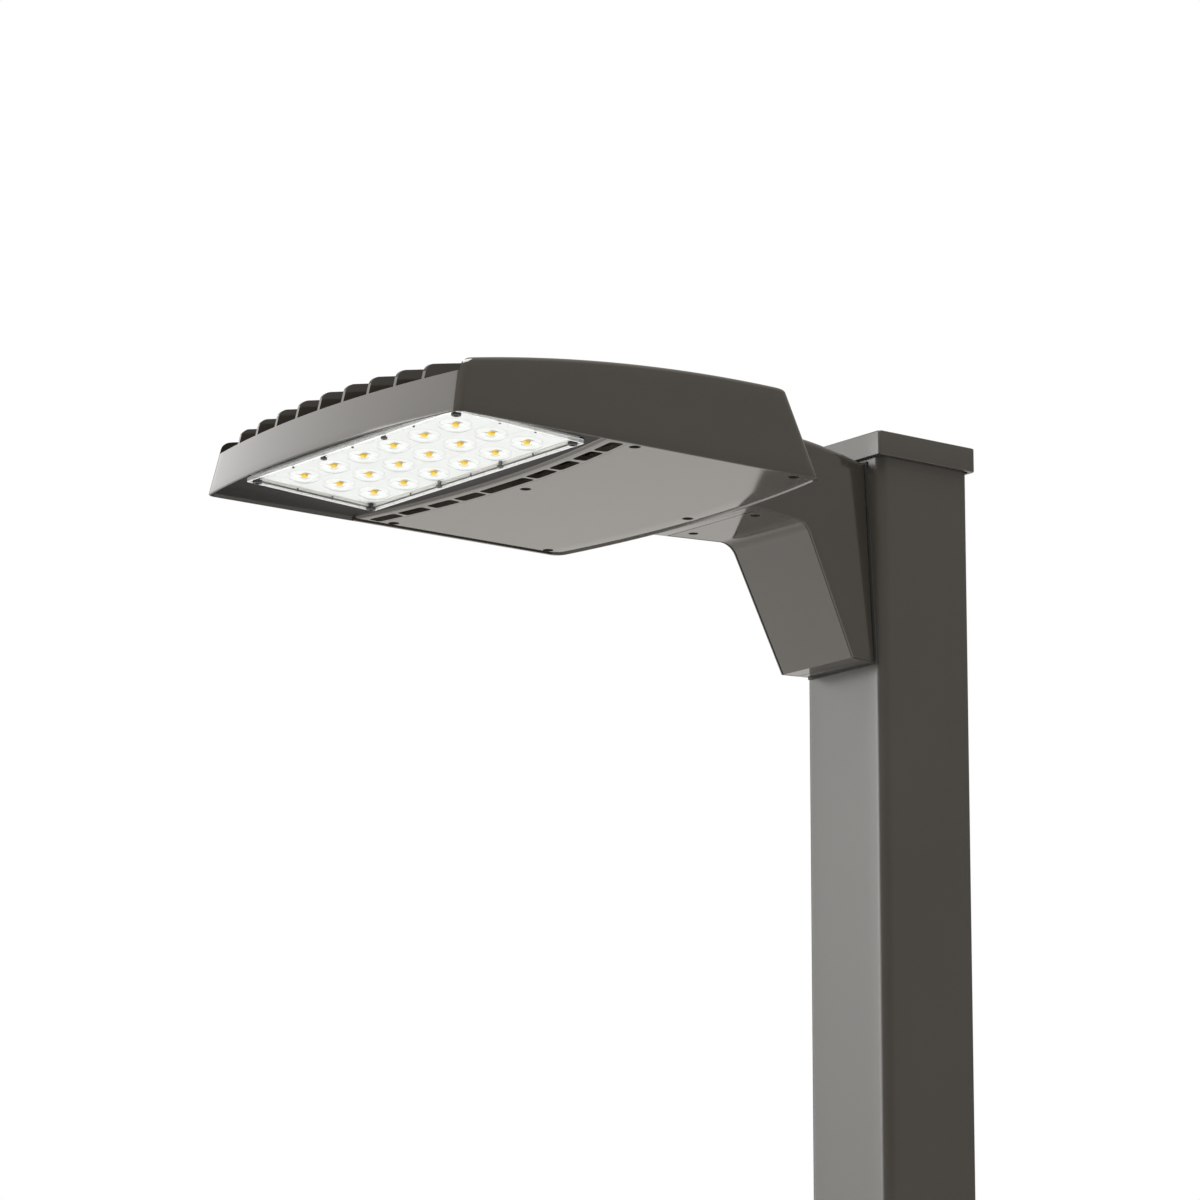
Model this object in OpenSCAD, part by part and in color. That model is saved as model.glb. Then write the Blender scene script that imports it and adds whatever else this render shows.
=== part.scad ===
/* [Head] */
// Width of the head at its underside
head_w = 350; // [300:1:420]
// Length of the head along its middle, at its underside
head_len = 394; // [360:1:440]
// How far the nose bows forward of its corners
nose_bulge = 18; // [0:1:30]
// How far the tail bows backward of its corners
tail_bulge = 17; // [4:1:26]
// Height of the nose band in front of the fins
nose_h = 33.5; // [28:0.5:38]
// Height of the side walls at their highest place
side_h = 70; // [62:0.5:80]
// Distance from the tail to the highest place of the side walls
crown_back = 72; // [50:1:100]
// Rise of the top's middle above its sides
crown_rise = 7.5; // [2:0.5:12]
// Thickness of the outer walls
wall = 3.5; // [2.5:0.25:4.5]
// Thickness of the roof over the driver bay
roof = 4; // [3:0.25:6]
// Radius of the nose corners, seen from above
nose_corner_r = 8; // [5:0.5:14]
// Radius of the tail corners, seen from above
tail_corner_r = 12; // [8:0.5:18]

/* [Fins] */
// Number of fins between the side walls, an odd number
fin_count = 9; // [7:2:9]
// Distance between fin middles
fin_pitch = 32; // [26:0.5:34]
// Thickness of a fin
fin_t = 3; // [2:0.25:5]
// Radius at the front of each fin's top
fin_r = 6; // [3:0.5:8]
// Height of the channel floor at the air duct
channel_h = 17; // [14:0.5:24]

/* [Lamp] */
// Light sources in each row
led_cols = 6; // [3:1:6]
// Rows of light sources
led_rows = 3; // [2:1:3]
// Distance from the optic's side to the middles of the first column of light sources
led_edge = 40.25; // [30:0.25:46]
// Distance from the optic's front edge to the middles of the first row of light sources
led_front = 30.44; // [26:0.02:36]
// Side of one light source
led_w = 5; // [3:0.5:8]
// Distance from the head's side to the optic panel
lens_side = 30.5; // [27:0.5:36]
// Distance from the nose to the optic panel
lens_front = 35.9; // [32:0.1:42]
// Distance from the optic panel to the door's front lip
lens_behind = 15.6; // [12:0.1:20]
// Diameter of one optic dome
dome_d = 25; // [18:0.5:28]
// Height of one optic dome
dome_h = 3.5; // [1:0.25:5]

/* [Door] */
// Thickness of the driver door
door_t = 4; // [3:0.25:6]
// Thickness of the door's seal
door_seal_t = 1.5; // [1:0.25:3]
// Length of the lamp's end of the head, from the nose to the door's front lip
lamp_len = 178.5; // [174:0.5:188]
// Width of the air slots
slot_w = 10; // [5:0.5:12]
// Gap between the door and the walls round it
door_gap = 0.5; // [0.3:0.1:1]
// Diameter of the door screws
door_screw_d = 5; // [4:0.5:6]

/* [Arm] */
// Distance from the pole's face to the tail of the head
arm_reach = 157; // [145:1:190]
// Drop of the arm's foot below the head's underside
arm_drop = 106; // [96:1:130]
// Height of the arm's top above the head's underside
arm_top = 72.5; // [64:0.5:74]
// Half the width of the arm at the foot of its pole end
arm_half = 42.4; // [36:0.2:44]
// Lean of the arm's front from upright
arm_lean = 27; // [20:1:32]
// Depth of the arm's foot, from the pole's face to its front
arm_foot = 28; // [24:0.5:36]
// Radius of the bend under the arm
arm_bend_r = 17; // [8:0.5:30]
// Thickness of the arm's walls
arm_wall = 5; // [4:0.25:7]
// Thickness of the arm's cover
cover_t = 3.5; // [2.5:0.25:5]

/* [Pole] */
// Side of the square pole
pole_w = 101.6; // [96:0.1:127]
// Thickness of the pole's wall
pole_wall = 3; // [2:0.25:6]
// Outside radius of the pole's corners
pole_corner_r = 9.5; // [4:0.5:14]
// Length of the pole section below the head's underside
pole_below = 600; // [300:10:1200]
// Length of the pole above the head's underside
pole_above = 87.8; // [80:0.1:120]
// Thickness of the cap's skirt
cap_wall = 1.9; // [1.5:0.1:3]
// Thickness of the cap's top
cap_top = 3; // [2:0.5:6]
// Height of the cap's skirt below the pole's end
cap_skirt = 19; // [12:1:30]
// Diameter of the two pole bolts
pole_bolt_d = 12; // [8:1:14]

/* [Hidden] */

// Small values that several pieces share
overrun = 1;
thread_gap = 0.1;
hole_gap = 0.5;
rim_gap = 0.4;
arc_steps = 8;
corner_steps = 4;
curve_fn = 48;
crown_fn = 720;
crown_step = 2.73;

// Places along the reach of the fixture: the pole's axis is at zero, the nose points to minus Y
pole_face_y = -pole_w / 2;
tail_y = pole_face_y - arm_reach;
nose_y = tail_y - head_len;
crown_y = tail_y - crown_back;
head_top = side_h + 2 * crown_rise;

// Radius of the arched top, seen from the side, so that its walls end a little above the nose band
crown_fall = side_h - nose_h - crown_step;
crown_r = (pow(crown_y - nose_y, 2) + pow(crown_fall, 2)) / (2 * crown_fall);

// Leans of the casting's walls: how far each moves in for each unit of height
side_draft_share = 0.114;
nose_rake_share = 0.24;
tail_rake_share = 0.4;
tail_angle = atan(tail_rake_share);

// The sloping channels between the fins
shelf_len = 30;
shelf_y = nose_y + shelf_len;

// The lamp's own plane, which leans down towards the tail
lens_shift = -1.6;
lens_w = head_w - 2 * lens_side;
lens_l = lamp_len - lens_front - lens_behind;
lamp_y = nose_y + lens_front + lens_l / 2 - lens_shift;
lamp_z = 8.9;
lamp_tilt = -2.9;
board_t = 1.6;
pad_t = 0.5;
led_t = 0.8;
lens_seal_t = 1.2;
led_pitch_x = (lens_w - 2 * led_edge) / (led_cols - 1);
led_pitch_y = (lens_l - 2 * (led_front + lens_shift)) / (led_rows - 1);
lens_t = 2.2;
lens_rim_t = 1;
lens_rim_w = 2.5;
lens_seal_w = 4;
lens_corner_r = 5;
board_inset = 1.5;
lamp_floor = board_t + pad_t;
bezel_t = 2.5;
corner_screw_d = 4;
corner_screw_in = 7;
corner_screw_head_d = 8;
corner_screw_head_h = 2.6;
corner_screw_bite = 6;
clamp_screw_d = 3;
clamp_screw_head_d = 5.4;
clamp_screw_head_h = 1.8;
clamp_screw_in = 6.6;
clamp_screw_bite = 5;
edge_pin_d = 2;
edge_pin_in = 5.4;
edge_pin_head_h = 0.7;

// The door and the duct behind the lamp
door_len = head_len - lamp_len;
lip_y = tail_y - door_len;
slot_in = 16.2;
duct_in = 5;
duct_len = 20;
duct_wall = 4.5;
slot_y = lip_y + slot_in;
duct_front_y = lip_y + duct_in;
duct_back_y = duct_front_y + duct_len;
bay_front_y = duct_back_y + duct_wall;
ledge_z = door_t + door_seal_t;
ledge_w = 4.5;
bay_inset = wall + ledge_w;
boss_r = 7.5;
boss_h = 24;
door_head_d = 9;
door_head_h = 1.9;
door_sink = 2.2;
door_screw_bite = 14;
// Middles and lengths of the air slots on one side, as shares of half the head's width
slot_place_shares = [0, 0.277, 0.471, 0.674, 0.863];
slot_length_shares = [0.366, 0.143, 0.143, 0.143, 0.143];
slot_corner_r = 2;
// Places of the door screws: shares of half the width, and distances in from the lip or from the tail
lip_screw_shares = [0.935, -0.935, 0];
lip_screw_in = [18.75, 18.75, 34.26];
tail_screw_shares = [0.937, -0.937, 0];
tail_screw_in = [34.26, 34.26, 12.28];

// The gear on the door
driver_size = [168, 66, 36];
driver_foot_w = 14;
driver_foot_t = 3;
driver_in = 23;
driver_back = tail_y - bay_front_y - driver_in - driver_size[1] / 2;
driver_screw_d = 4;
gear_gap = 3;
gear_tab = 9;
gear_x = driver_size[0] / 2 + driver_foot_w + gear_gap;
surge_size = [32, 48, 27];
surge_at = [gear_x + surge_size[0] / 2, driver_back];
terminal_size = [22, 48, 20];
terminal_at = [-gear_x - terminal_size[0] / 2, driver_back];
terminal_poles = 3;
gear_screw_bite = 2.4;
gear_screw_head_h = 2;

// The arm
arm_flare_share = 0.195;
arm_draft_share = 0.083;
arm_under = 0.5;
arm_top_r = 560;
arm_level_back = 89;
arm_top_y = pole_face_y - arm_level_back;
arm_back_r = 8;
pole_seal_t = 1.5;
head_seal_t = 1.5;
arm_back_y = pole_face_y - pole_seal_t;
arm_back_t = 8;
arm_flange_t = 8;
arm_foot_y = pole_face_y - arm_foot;
cover_lip = 2.2;
cover_start = 14.8;
cover_front_y = tail_y + cover_start;
cover_land = 21;
cover_land_t = 5;
cover_return = 14;
cover_screw_d = 4;
cover_screw_in = 12;
cover_screw_x = 41;
cover_head_d = 8;
cover_head_h = 1.7;
cover_sink = 2;
arm_wing = 60;

// Fasteners of the arm
bolt_high = 35;
bolt_low = -65;
bolt_head_h = 7.5;
bolt_head_share = 1.73;
bolt_washer_t = 2.5;
backing_t = 8;
backing_w = 50;
backing_over = 22;
backing_gap = 0.2;
bolt_tail = 5;
wire_z = -15;
wire_r = 12;
grommet_wall = 2;
grommet_lip = 3;
head_bolt_d = 8;
head_bolt_x = 36;
head_bolt_low = 25;
head_bolt_high = 54;
head_seat_gap = 0.4;
bay_face = -bay_inset * cos(tail_angle) - head_seat_gap;
head_bolt_head_h = 8;
head_bolt_head_d = 13;
head_washer_t = 1.6;
head_wire_r = 10;
head_wire_up = 46;

cap_gap = 0.3;
cap_w = pole_w + 2 * (cap_gap + cap_wall);
cap_corner_r = 1.5;

paint = [0.27, 0.26, 0.24];
shade = [0.15, 0.15, 0.15];
steel = [0.72, 0.72, 0.74];
rubber = [0.08, 0.08, 0.08];
board_white = [0.94, 0.94, 0.92];
clear = [0.85, 0.92, 0.95];
phosphor = [0.98, 0.8, 0.2];
plastic = [0.3, 0.3, 0.32];

// Half the width of the head at a height, moved in by an inset
function head_half(z, inset) = head_w / 2 - side_draft_share * z - inset;
// The nose and the tail are bowed lines that lean back with height
function bow(x, bulge) = bulge * pow(2 * x / head_w, 2);
function nose_at(x, z, inset) = nose_y + bow(x, nose_bulge) + nose_rake_share * z + inset;
function tail_at(x, z, inset) = tail_y - bow(x, tail_bulge) - tail_rake_share * z - inset;
function bow_angle(x, bulge) = atan(8 * bulge * x / pow(head_w, 2));
function arc(c, r, from, to, steps) =
  [for (i = [0:steps]) let (a = from + (to - from) * i / steps) c + r * [cos(a), sin(a)]];

// One side of the head's outline at a height, from the nose round to the tail
function head_side(z, side, nose, tail) =
  let (
    nr = max(nose_corner_r - max(side, 0), overrun),
    tr = max(tail_corner_r - max(side, 0), overrun),
    half = head_half(z, side),
    na = bow_angle(half - nr, nose_bulge),
    ta = bow_angle(half - tr, tail_bulge),
    nx = half - nr + nr * sin(na),
    tx = half - tr + tr * sin(ta),
    nc = [half - nr, nose_at(nx, z, nose) + nr * cos(na)],
    tc = [half - tr, tail_at(tx, z, tail) - tr * cos(ta)]
  )
  concat(
    [for (i = [0:arc_steps - 1]) [nx * i / arc_steps, nose_at(nx * i / arc_steps, z, nose)]],
    arc(nc, nr, na - 90, 0, corner_steps),
    arc(tc, tr, 0, 90 - ta, corner_steps),
    [for (i = [arc_steps - 1:-1:0]) [tx * i / arc_steps, tail_at(tx * i / arc_steps, z, tail)]]
  );
function both_sides(half) =
  concat(half, [for (i = [len(half) - 2:-1:1]) [-half[i][0], half[i][1]]]);

// A solid between two outlines that have as many points as each other
module loft(lower, upper, z0, z1) {
  n = len(lower);
  polyhedron(
    points = concat([for (p = lower) [p[0], p[1], z0]], [for (p = upper) [p[0], p[1], z1]]),
    faces = concat(
      [[for (i = [0:n - 1]) i], [for (i = [n - 1:-1:0]) n + i]],
      [for (i = [0:n - 1]) [i, n + i, n + (i + 1) % n]],
      [for (i = [0:n - 1]) [i, n + (i + 1) % n, (i + 1) % n]]
    )
  );
}

// The head's drafted walls, with each wall moved in by its own inset
module head_block(side = 0, nose = 0, tail = 0, z0 = 0, z1 = head_top) {
  loft(both_sides(head_side(z0, side, nose, tail)), both_sides(head_side(z1, side, nose, tail)), z0, z1);
}

// The arched top, turned about a far axis across the head; drop lowers it
module crown(drop = 0) {
  edge = head_half(side_h, 0) + overrun;
  soft = fin_r * 2 / 3;
  low = crown_r - 2 * side_h;
  foot = head_w / 2 + side_h / 2;
  from = 180 - asin((tail_y - crown_y + side_h) / crown_r);
  to = 180 + asin((crown_y - nose_y + side_h) / crown_r);
  side_arc = arc([crown_r - soft, edge - soft], soft, 90, 0, corner_steps);
  inner = edge - soft;
  profile = concat(
    [[low, -foot], [low, foot]],
    side_arc,
    [for (i = [arc_steps - 1:-1:1 - arc_steps])
      [crown_r + crown_rise * (1 - pow(i / arc_steps, 2)), inner * i / arc_steps]],
    [for (i = [corner_steps:-1:0]) [side_arc[i][0], -side_arc[i][1]]]
  );
  translate([0, crown_y, side_h - drop - crown_r])
    rotate([0, 90, 0])
      rotate([0, 0, from])
        rotate_extrude(angle = to - from, $fn = crown_fn)
          polygon(profile);
}

// Everything in front of a line that is bowed like the tail and crosses the middle at y
module ahead_of(y, z0, z1) {
  reach = head_w / 2 + overrun;
  line = [for (i = [-arc_steps:arc_steps])
    let (x = reach * i / arc_steps) [x, y - bow(x, tail_bulge)]];
  translate([0, 0, z0])
    linear_extrude(z1 - z0)
      polygon(concat(line, [[reach, nose_y - side_h], [-reach, nose_y - side_h]]));
}

// A flat outline with round corners and true arcs
module round_rect(size, r) {
  square([size[0], size[1] - 2 * r], center = true);
  square([size[0] - 2 * r, size[1]], center = true);
  for (x = [-1, 1])
    for (y = [-1, 1])
      translate([x * (size[0] / 2 - r), y * (size[1] / 2 - r)])
        circle(r, $fn = curve_fn);
}

module rod(r, h) {
  cylinder(r = r, h = h, $fn = curve_fn);
}

// A screw that points up: its head hangs below zero and its shank rises
module screw(d, head_d, head_h, length) {
  difference() {
    union() {
      translate([0, 0, -head_h])
        rod(head_d / 2, head_h);
      rod(d / 2, length);
    }
    translate([0, 0, -head_h - overrun])
      cylinder(d = head_d / 2, h = overrun + head_h * 2 / 3, $fn = 6);
  }
}

// The head's underside is this far above the lower end of the pole section
module at_head() {
  translate([0, 0, pole_below])
    children();
}

module at_lamp() {
  translate([0, lamp_y, lamp_z])
    rotate([lamp_tilt, 0, 0])
      children();
}

module at_tail() {
  translate([0, tail_y, 0])
    rotate([tail_angle, 0, 0])
      children();
}

// The head before anything is cut from it
module head_shape() {
  intersection() {
    head_block();
    crown();
  }
}

module fins() {
  half = (fin_count - 1) / 2;
  for (k = [-half:half])
    translate([k * fin_pitch - fin_t / 2, nose_y - side_h, 0])
      cube([fin_t, head_len, head_top]);
}

// Rounds off the top front corner of each fin and side wall
module fin_rounds() {
  half = (fin_count - 1) / 2;
  wall_x = head_half(nose_h, 0);
  places = concat([for (k = [-half:half]) k * fin_pitch], [-wall_x, wall_x]);
  for (x = places) {
    top = side_h + crown_rise * (1 - pow(min(abs(x) / wall_x, 1), 2));
    lean_r = fin_r * sqrt(1 + pow(nose_rake_share, 2));
    front = nose_at(x, top / 2, 0);
    cz = top - pow(front - crown_y, 2) / (2 * crown_r) - fin_r;
    cy = nose_at(x, cz, 0) + lean_r;
    translate([x, 0, 0])
      rotate([90, 0, 90])
        translate([0, 0, -fin_pitch / 3])
          linear_extrude(fin_pitch * 2 / 3)
            difference() {
              translate([cy - side_h, cz])
                square([side_h, side_h]);
              translate([cy, cz])
                circle(fin_r, $fn = curve_fn);
            }
  }
}

// The open space over the lamp, with the fins left standing in it
module fin_channels() {
  difference() {
    intersection() {
      head_block(side = wall, nose = -overrun);
      ahead_of(duct_back_y, 0, head_top);
      rotate([90, 0, 90])
        translate([0, 0, -head_w / 2])
          linear_extrude(head_w)
            polygon([
              [nose_y - side_h, nose_h], [shelf_y, nose_h], [duct_front_y - tail_bulge, channel_h],
              [bay_front_y, channel_h], [bay_front_y, head_top], [nose_y - side_h, head_top]
            ]);
    }
    fins();
  }
}

// The recess for the lamp, its bezel and its optic
module lamp_recess() {
  intersection() {
    head_block(side = wall, nose = wall, z0 = -overrun);
    ahead_of(lip_y, -overrun, nose_h);
    at_lamp()
      translate([-head_w / 2, -head_len / 2, lamp_floor - side_h])
        cube([head_w, head_len, side_h]);
  }
}

// The flush seat of the door
module door_recess() {
  difference() {
    head_block(side = wall, tail = wall, z0 = -overrun, z1 = ledge_z);
    ahead_of(lip_y - door_gap, -2 * overrun, head_top);
  }
}

// The duct through which air rises from the door's slots to the fins
module air_duct() {
  intersection() {
    difference() {
      head_block(side = wall);
      ahead_of(duct_front_y, -overrun, head_top);
    }
    ahead_of(duct_back_y, door_t, channel_h + overrun);
  }
}

module door_screw_places() {
  for (i = [0:len(lip_screw_in) - 1])
    translate([lip_screw_shares[i] * head_w / 2, lip_y + lip_screw_in[i], 0])
      children();
  for (i = [0:len(tail_screw_in) - 1])
    translate([tail_screw_shares[i] * head_w / 2, tail_y - tail_screw_in[i], 0])
      children();
}

// The closed bay for the driver, with the door's screw bosses left standing
module driver_bay() {
  difference() {
    intersection() {
      head_block(side = bay_inset, tail = bay_inset);
      crown(roof);
    }
    ahead_of(bay_front_y, -overrun, head_top);
    translate([0, 0, ledge_z])
      door_screw_places()
        rod(boss_r, boss_h);
  }
}

module corner_places() {
  for (x = [-1, 1])
    for (y = [-1, 1])
      translate([x * (lens_w / 2 - corner_screw_in), y * (lens_l / 2 - corner_screw_in) + lens_shift, 0])
        children();
}

// Places along the optic's long edges, halfway between the columns of light sources
module edge_places(inset, big) {
  for (i = [1:led_cols - 1])
    if ((i % 2 == 0) == big)
      for (y = [-1, 1])
        translate([(i - led_cols / 2) * led_pitch_x, y * (lens_l / 2 - inset) + lens_shift, 0])
          children();
}

module side_places(inset) {
  for (x = [-1, 1])
    for (j = [1:led_rows - 1])
      translate([x * (lens_w / 2 - inset), (j - led_rows / 2) * led_pitch_y, 0])
        children();
}

module led_places() {
  for (i = [0:led_cols - 1])
    for (j = [0:led_rows - 1])
      translate([(i - (led_cols - 1) / 2) * led_pitch_x, (j - (led_rows - 1) / 2) * led_pitch_y, 0])
        children();
}

// The bolts between the head and the arm stand square to the sloping tail wall
module head_bolt_places() {
  at_tail()
    for (x = [-1, 1])
      for (up = [head_bolt_low, head_bolt_high])
        translate([x * head_bolt_x, -bow(head_bolt_x, tail_bulge), up])
          rotate([-90, 0, 0])
            children();
}

module head_wire_place() {
  at_tail()
    translate([0, 0, head_wire_up])
      rotate([-90, 0, 0])
        children();
}

module housing() {
  color(paint)
    at_head()
      difference() {
        head_shape();
        fin_rounds();
        fin_channels();
        lamp_recess();
        door_recess();
        air_duct();
        driver_bay();
        door_screw_places()
          rod(door_screw_d / 2 + hole_gap / 2, ledge_z + door_screw_bite);
        at_lamp() {
          corner_places()
            rod(corner_screw_d / 2 + thread_gap, lamp_floor + corner_screw_bite);
          edge_places(clamp_screw_in, true)
            rod(clamp_screw_d / 2 + thread_gap, lamp_floor + clamp_screw_bite);
        }
        head_bolt_places()
          translate([0, 0, -side_h / 2])
            rod(head_bolt_d / 2 + hole_gap / 2, side_h);
        head_wire_place()
          translate([0, 0, -side_h / 2])
            rod(head_wire_r, side_h);
      }
}

module lens_bezel() {
  color(shade)
    at_head()
      difference() {
        intersection() {
          head_block(side = wall + rim_gap, nose = wall + rim_gap, z0 = -overrun);
          ahead_of(lip_y - door_gap - rim_gap, -overrun, nose_h);
          at_lamp()
            translate([-head_w / 2, -head_len / 2, lamp_floor - bezel_t])
              cube([head_w, head_len, bezel_t]);
        }
        at_lamp()
          translate([0, lens_shift, lamp_floor - bezel_t - overrun])
            linear_extrude(bezel_t + 2 * overrun)
              round_rect([lens_w + 2 * rim_gap, lens_l + 2 * rim_gap], lens_corner_r);
      }
}

module lamp_sheet(z0, t) {
  translate([0, lens_shift, z0])
    linear_extrude(t)
      round_rect([lens_w - 2 * board_inset, lens_l - 2 * board_inset], lens_corner_r);
}

module lamp_holes(z0, t) {
  translate([0, 0, z0 - overrun]) {
    corner_places()
      rod(corner_screw_d / 2 + hole_gap / 2, t + 2 * overrun);
    edge_places(clamp_screw_in, true)
      rod(clamp_screw_d / 2 + hole_gap / 2, t + 2 * overrun);
  }
}

module thermal_pad() {
  color(steel)
    at_head()
      at_lamp()
        difference() {
          lamp_sheet(board_t, pad_t);
          lamp_holes(board_t, pad_t);
        }
}

module led_board() {
  color(board_white)
    at_head()
      at_lamp()
        difference() {
          lamp_sheet(0, board_t);
          lamp_holes(0, board_t);
        }
}

module led_chips() {
  color(phosphor)
    at_head()
      at_lamp()
        led_places()
          translate([-led_w / 2, -led_w / 2, -led_t])
            cube([led_w, led_w, led_t]);
}

module lens_gasket() {
  color(rubber)
    at_head()
      at_lamp()
        difference() {
          lamp_sheet(-lens_seal_t, lens_seal_t);
          translate([0, lens_shift, -lens_seal_t - overrun])
            linear_extrude(lens_seal_t + 2 * overrun)
              round_rect([
                lens_w - 2 * (board_inset + lens_seal_w), lens_l - 2 * (board_inset + lens_seal_w)
              ], lens_corner_r);
          lamp_holes(-lens_seal_t, lens_seal_t);
        }
}

module optic_lens() {
  dome_r = (pow(dome_d / 2, 2) + pow(dome_h, 2)) / (2 * dome_h);
  color(clear)
    at_head()
      at_lamp()
        difference() {
          union() {
            translate([0, lens_shift, -lens_seal_t - lens_t])
              linear_extrude(lens_t)
                round_rect([lens_w, lens_l], lens_corner_r);
            translate([0, lens_shift, -lens_seal_t - lens_t - lens_rim_t])
              linear_extrude(lens_rim_t)
                difference() {
                  round_rect([lens_w, lens_l], lens_corner_r);
                  round_rect([lens_w - 2 * lens_rim_w, lens_l - 2 * lens_rim_w], lens_corner_r / 2);
                }
            led_places()
              intersection() {
                translate([0, 0, -lens_seal_t - lens_t - dome_h + dome_r])
                  sphere(dome_r, $fn = 2 * curve_fn);
                translate([0, 0, -lens_seal_t - lens_t - dome_h])
                  rod(dome_d / 2, dome_h + lens_t / 2);
              }
          }
          lamp_holes(-lens_seal_t - lens_t, lens_t);
          translate([0, 0, -lens_seal_t - lens_t - edge_pin_head_h - overrun]) {
            edge_places(edge_pin_in, false)
              rod(edge_pin_d / 2 + thread_gap, lens_t + edge_pin_head_h + 2 * overrun);
            side_places(edge_pin_in)
              rod(edge_pin_d / 2 + thread_gap, lens_t + edge_pin_head_h + 2 * overrun);
          }
        }
}

module lens_corner_screws() {
  color(steel)
    at_head()
      at_lamp()
        corner_places()
          translate([0, 0, -lens_seal_t - lens_t])
            screw(corner_screw_d, corner_screw_head_d, corner_screw_head_h,
              lens_seal_t + lens_t + lamp_floor + corner_screw_bite - overrun);
}

module lens_clamp_screws() {
  color(steel)
    at_head()
      at_lamp()
        edge_places(clamp_screw_in, true)
          translate([0, 0, -lens_seal_t - lens_t])
            screw(clamp_screw_d, clamp_screw_head_d, clamp_screw_head_h,
              lens_seal_t + lens_t + lamp_floor + clamp_screw_bite - overrun);
}

module edge_pin() {
  translate([0, 0, -lens_seal_t - lens_t - edge_pin_head_h])
    rod(edge_pin_d / 2, lens_t + edge_pin_head_h);
}

module lens_edge_pins() {
  color(steel)
    at_head()
      at_lamp() {
        edge_places(edge_pin_in, false)
          edge_pin();
        side_places(edge_pin_in)
          edge_pin();
      }
}

module air_slots() {
  for (i = [0:len(slot_place_shares) - 1])
    for (s = i == 0 ? [1] : [-1, 1]) {
      x = s * slot_place_shares[i] * head_w / 2;
      translate([x, slot_y - bow(x, tail_bulge), -overrun])
        rotate([0, 0, -bow_angle(x, tail_bulge)])
          linear_extrude(door_t + 2 * overrun)
            round_rect([slot_length_shares[i] * head_w / 2, slot_w], slot_corner_r);
    }
}

module driver_door() {
  color(paint)
    at_head()
      difference() {
        head_block(side = wall + door_gap, tail = wall + door_gap, z0 = 0, z1 = door_t);
        ahead_of(lip_y, -overrun, head_top);
        air_slots();
        door_screw_places() {
          translate([0, 0, -overrun])
            rod(door_screw_d / 2 + hole_gap / 2, door_t + 2 * overrun);
          translate([0, 0, -overrun])
            rod(door_head_d / 2 + hole_gap / 2, door_sink + overrun);
        }
        translate([0, 0, door_t - gear_screw_bite]) {
          driver_screw_places()
            rod(driver_screw_d / 2 + thread_gap, door_t);
          surge_screw_places()
            rod(driver_screw_d / 2 + thread_gap, door_t);
          terminal_screw_places()
            rod(driver_screw_d / 2 + thread_gap, door_t);
        }
      }
}

module door_gasket() {
  seat = wall + door_gap;
  color(rubber)
    at_head()
      difference() {
        head_block(side = seat, tail = seat, z0 = door_t, z1 = ledge_z);
        ahead_of(duct_back_y, -overrun, head_top);
        difference() {
          head_block(side = bay_inset, tail = bay_inset, z0 = -overrun);
          ahead_of(bay_front_y, -2 * overrun, head_top + overrun);
          door_screw_places()
            translate([0, 0, -2 * overrun])
              rod(boss_r, head_top);
        }
        door_screw_places()
          rod(door_screw_d / 2 + hole_gap / 2, 2 * ledge_z);
      }
}

module door_screws() {
  color(steel)
    at_head()
      door_screw_places()
        translate([0, 0, door_sink])
          screw(door_screw_d, door_head_d, door_head_h, ledge_z + door_screw_bite - door_sink - overrun);
}

// The gear stands on the door's inner face
module driver_screw_places() {
  for (x = [-1, 1])
    for (y = [-1, 1])
      translate([
        x * (driver_size[0] + driver_foot_w) / 2,
        tail_y - driver_back + y * (driver_size[1] - driver_foot_w) / 2, 0
      ])
        children();
}

module led_driver() {
  color(board_white)
    at_head()
      translate([0, tail_y - driver_back, door_t])
        difference() {
          union() {
            linear_extrude(driver_size[2])
              round_rect([driver_size[0], driver_size[1]], slot_corner_r);
            linear_extrude(driver_foot_t)
              round_rect([driver_size[0] + 2 * driver_foot_w, driver_size[1]], slot_corner_r);
          }
          translate([0, -tail_y + driver_back, -overrun])
            driver_screw_places()
              rod(driver_screw_d / 2 + hole_gap / 2, driver_foot_t + 2 * overrun);
        }
}

// A screw that points down into the door from a foot of the given thickness
module gear_screw(foot_t) {
  translate([0, 0, door_t + foot_t])
    rotate([180, 0, 0])
      screw(driver_screw_d, 2 * driver_screw_d, gear_screw_head_h, foot_t + gear_screw_bite - thread_gap);
}

module driver_screws() {
  color(steel)
    at_head()
      driver_screw_places()
        gear_screw(driver_foot_t);
}

module surge_screw_places() {
  for (y = [-1, 1])
    translate([surge_at[0], tail_y - surge_at[1] + y * (surge_size[1] + gear_tab) / 2, 0])
      children();
}

module surge_protector() {
  color(plastic)
    at_head()
      difference() {
        translate([surge_at[0], tail_y - surge_at[1], door_t]) {
          linear_extrude(surge_size[2])
            round_rect([surge_size[0], surge_size[1]], slot_corner_r);
          linear_extrude(driver_foot_t)
            round_rect([2 * gear_tab, surge_size[1] + 2 * gear_tab], slot_corner_r);
        }
        surge_screw_places()
          rod(driver_screw_d / 2 + hole_gap / 2, door_t + driver_foot_t + overrun);
      }
}

module surge_screws() {
  color(steel)
    at_head()
      surge_screw_places()
        gear_screw(driver_foot_t);
}

module terminal_screw_places() {
  for (y = [-1, 1])
    translate([terminal_at[0], tail_y - terminal_at[1] + y * (terminal_size[1] + gear_tab) / 2, 0])
      children();
}

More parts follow.
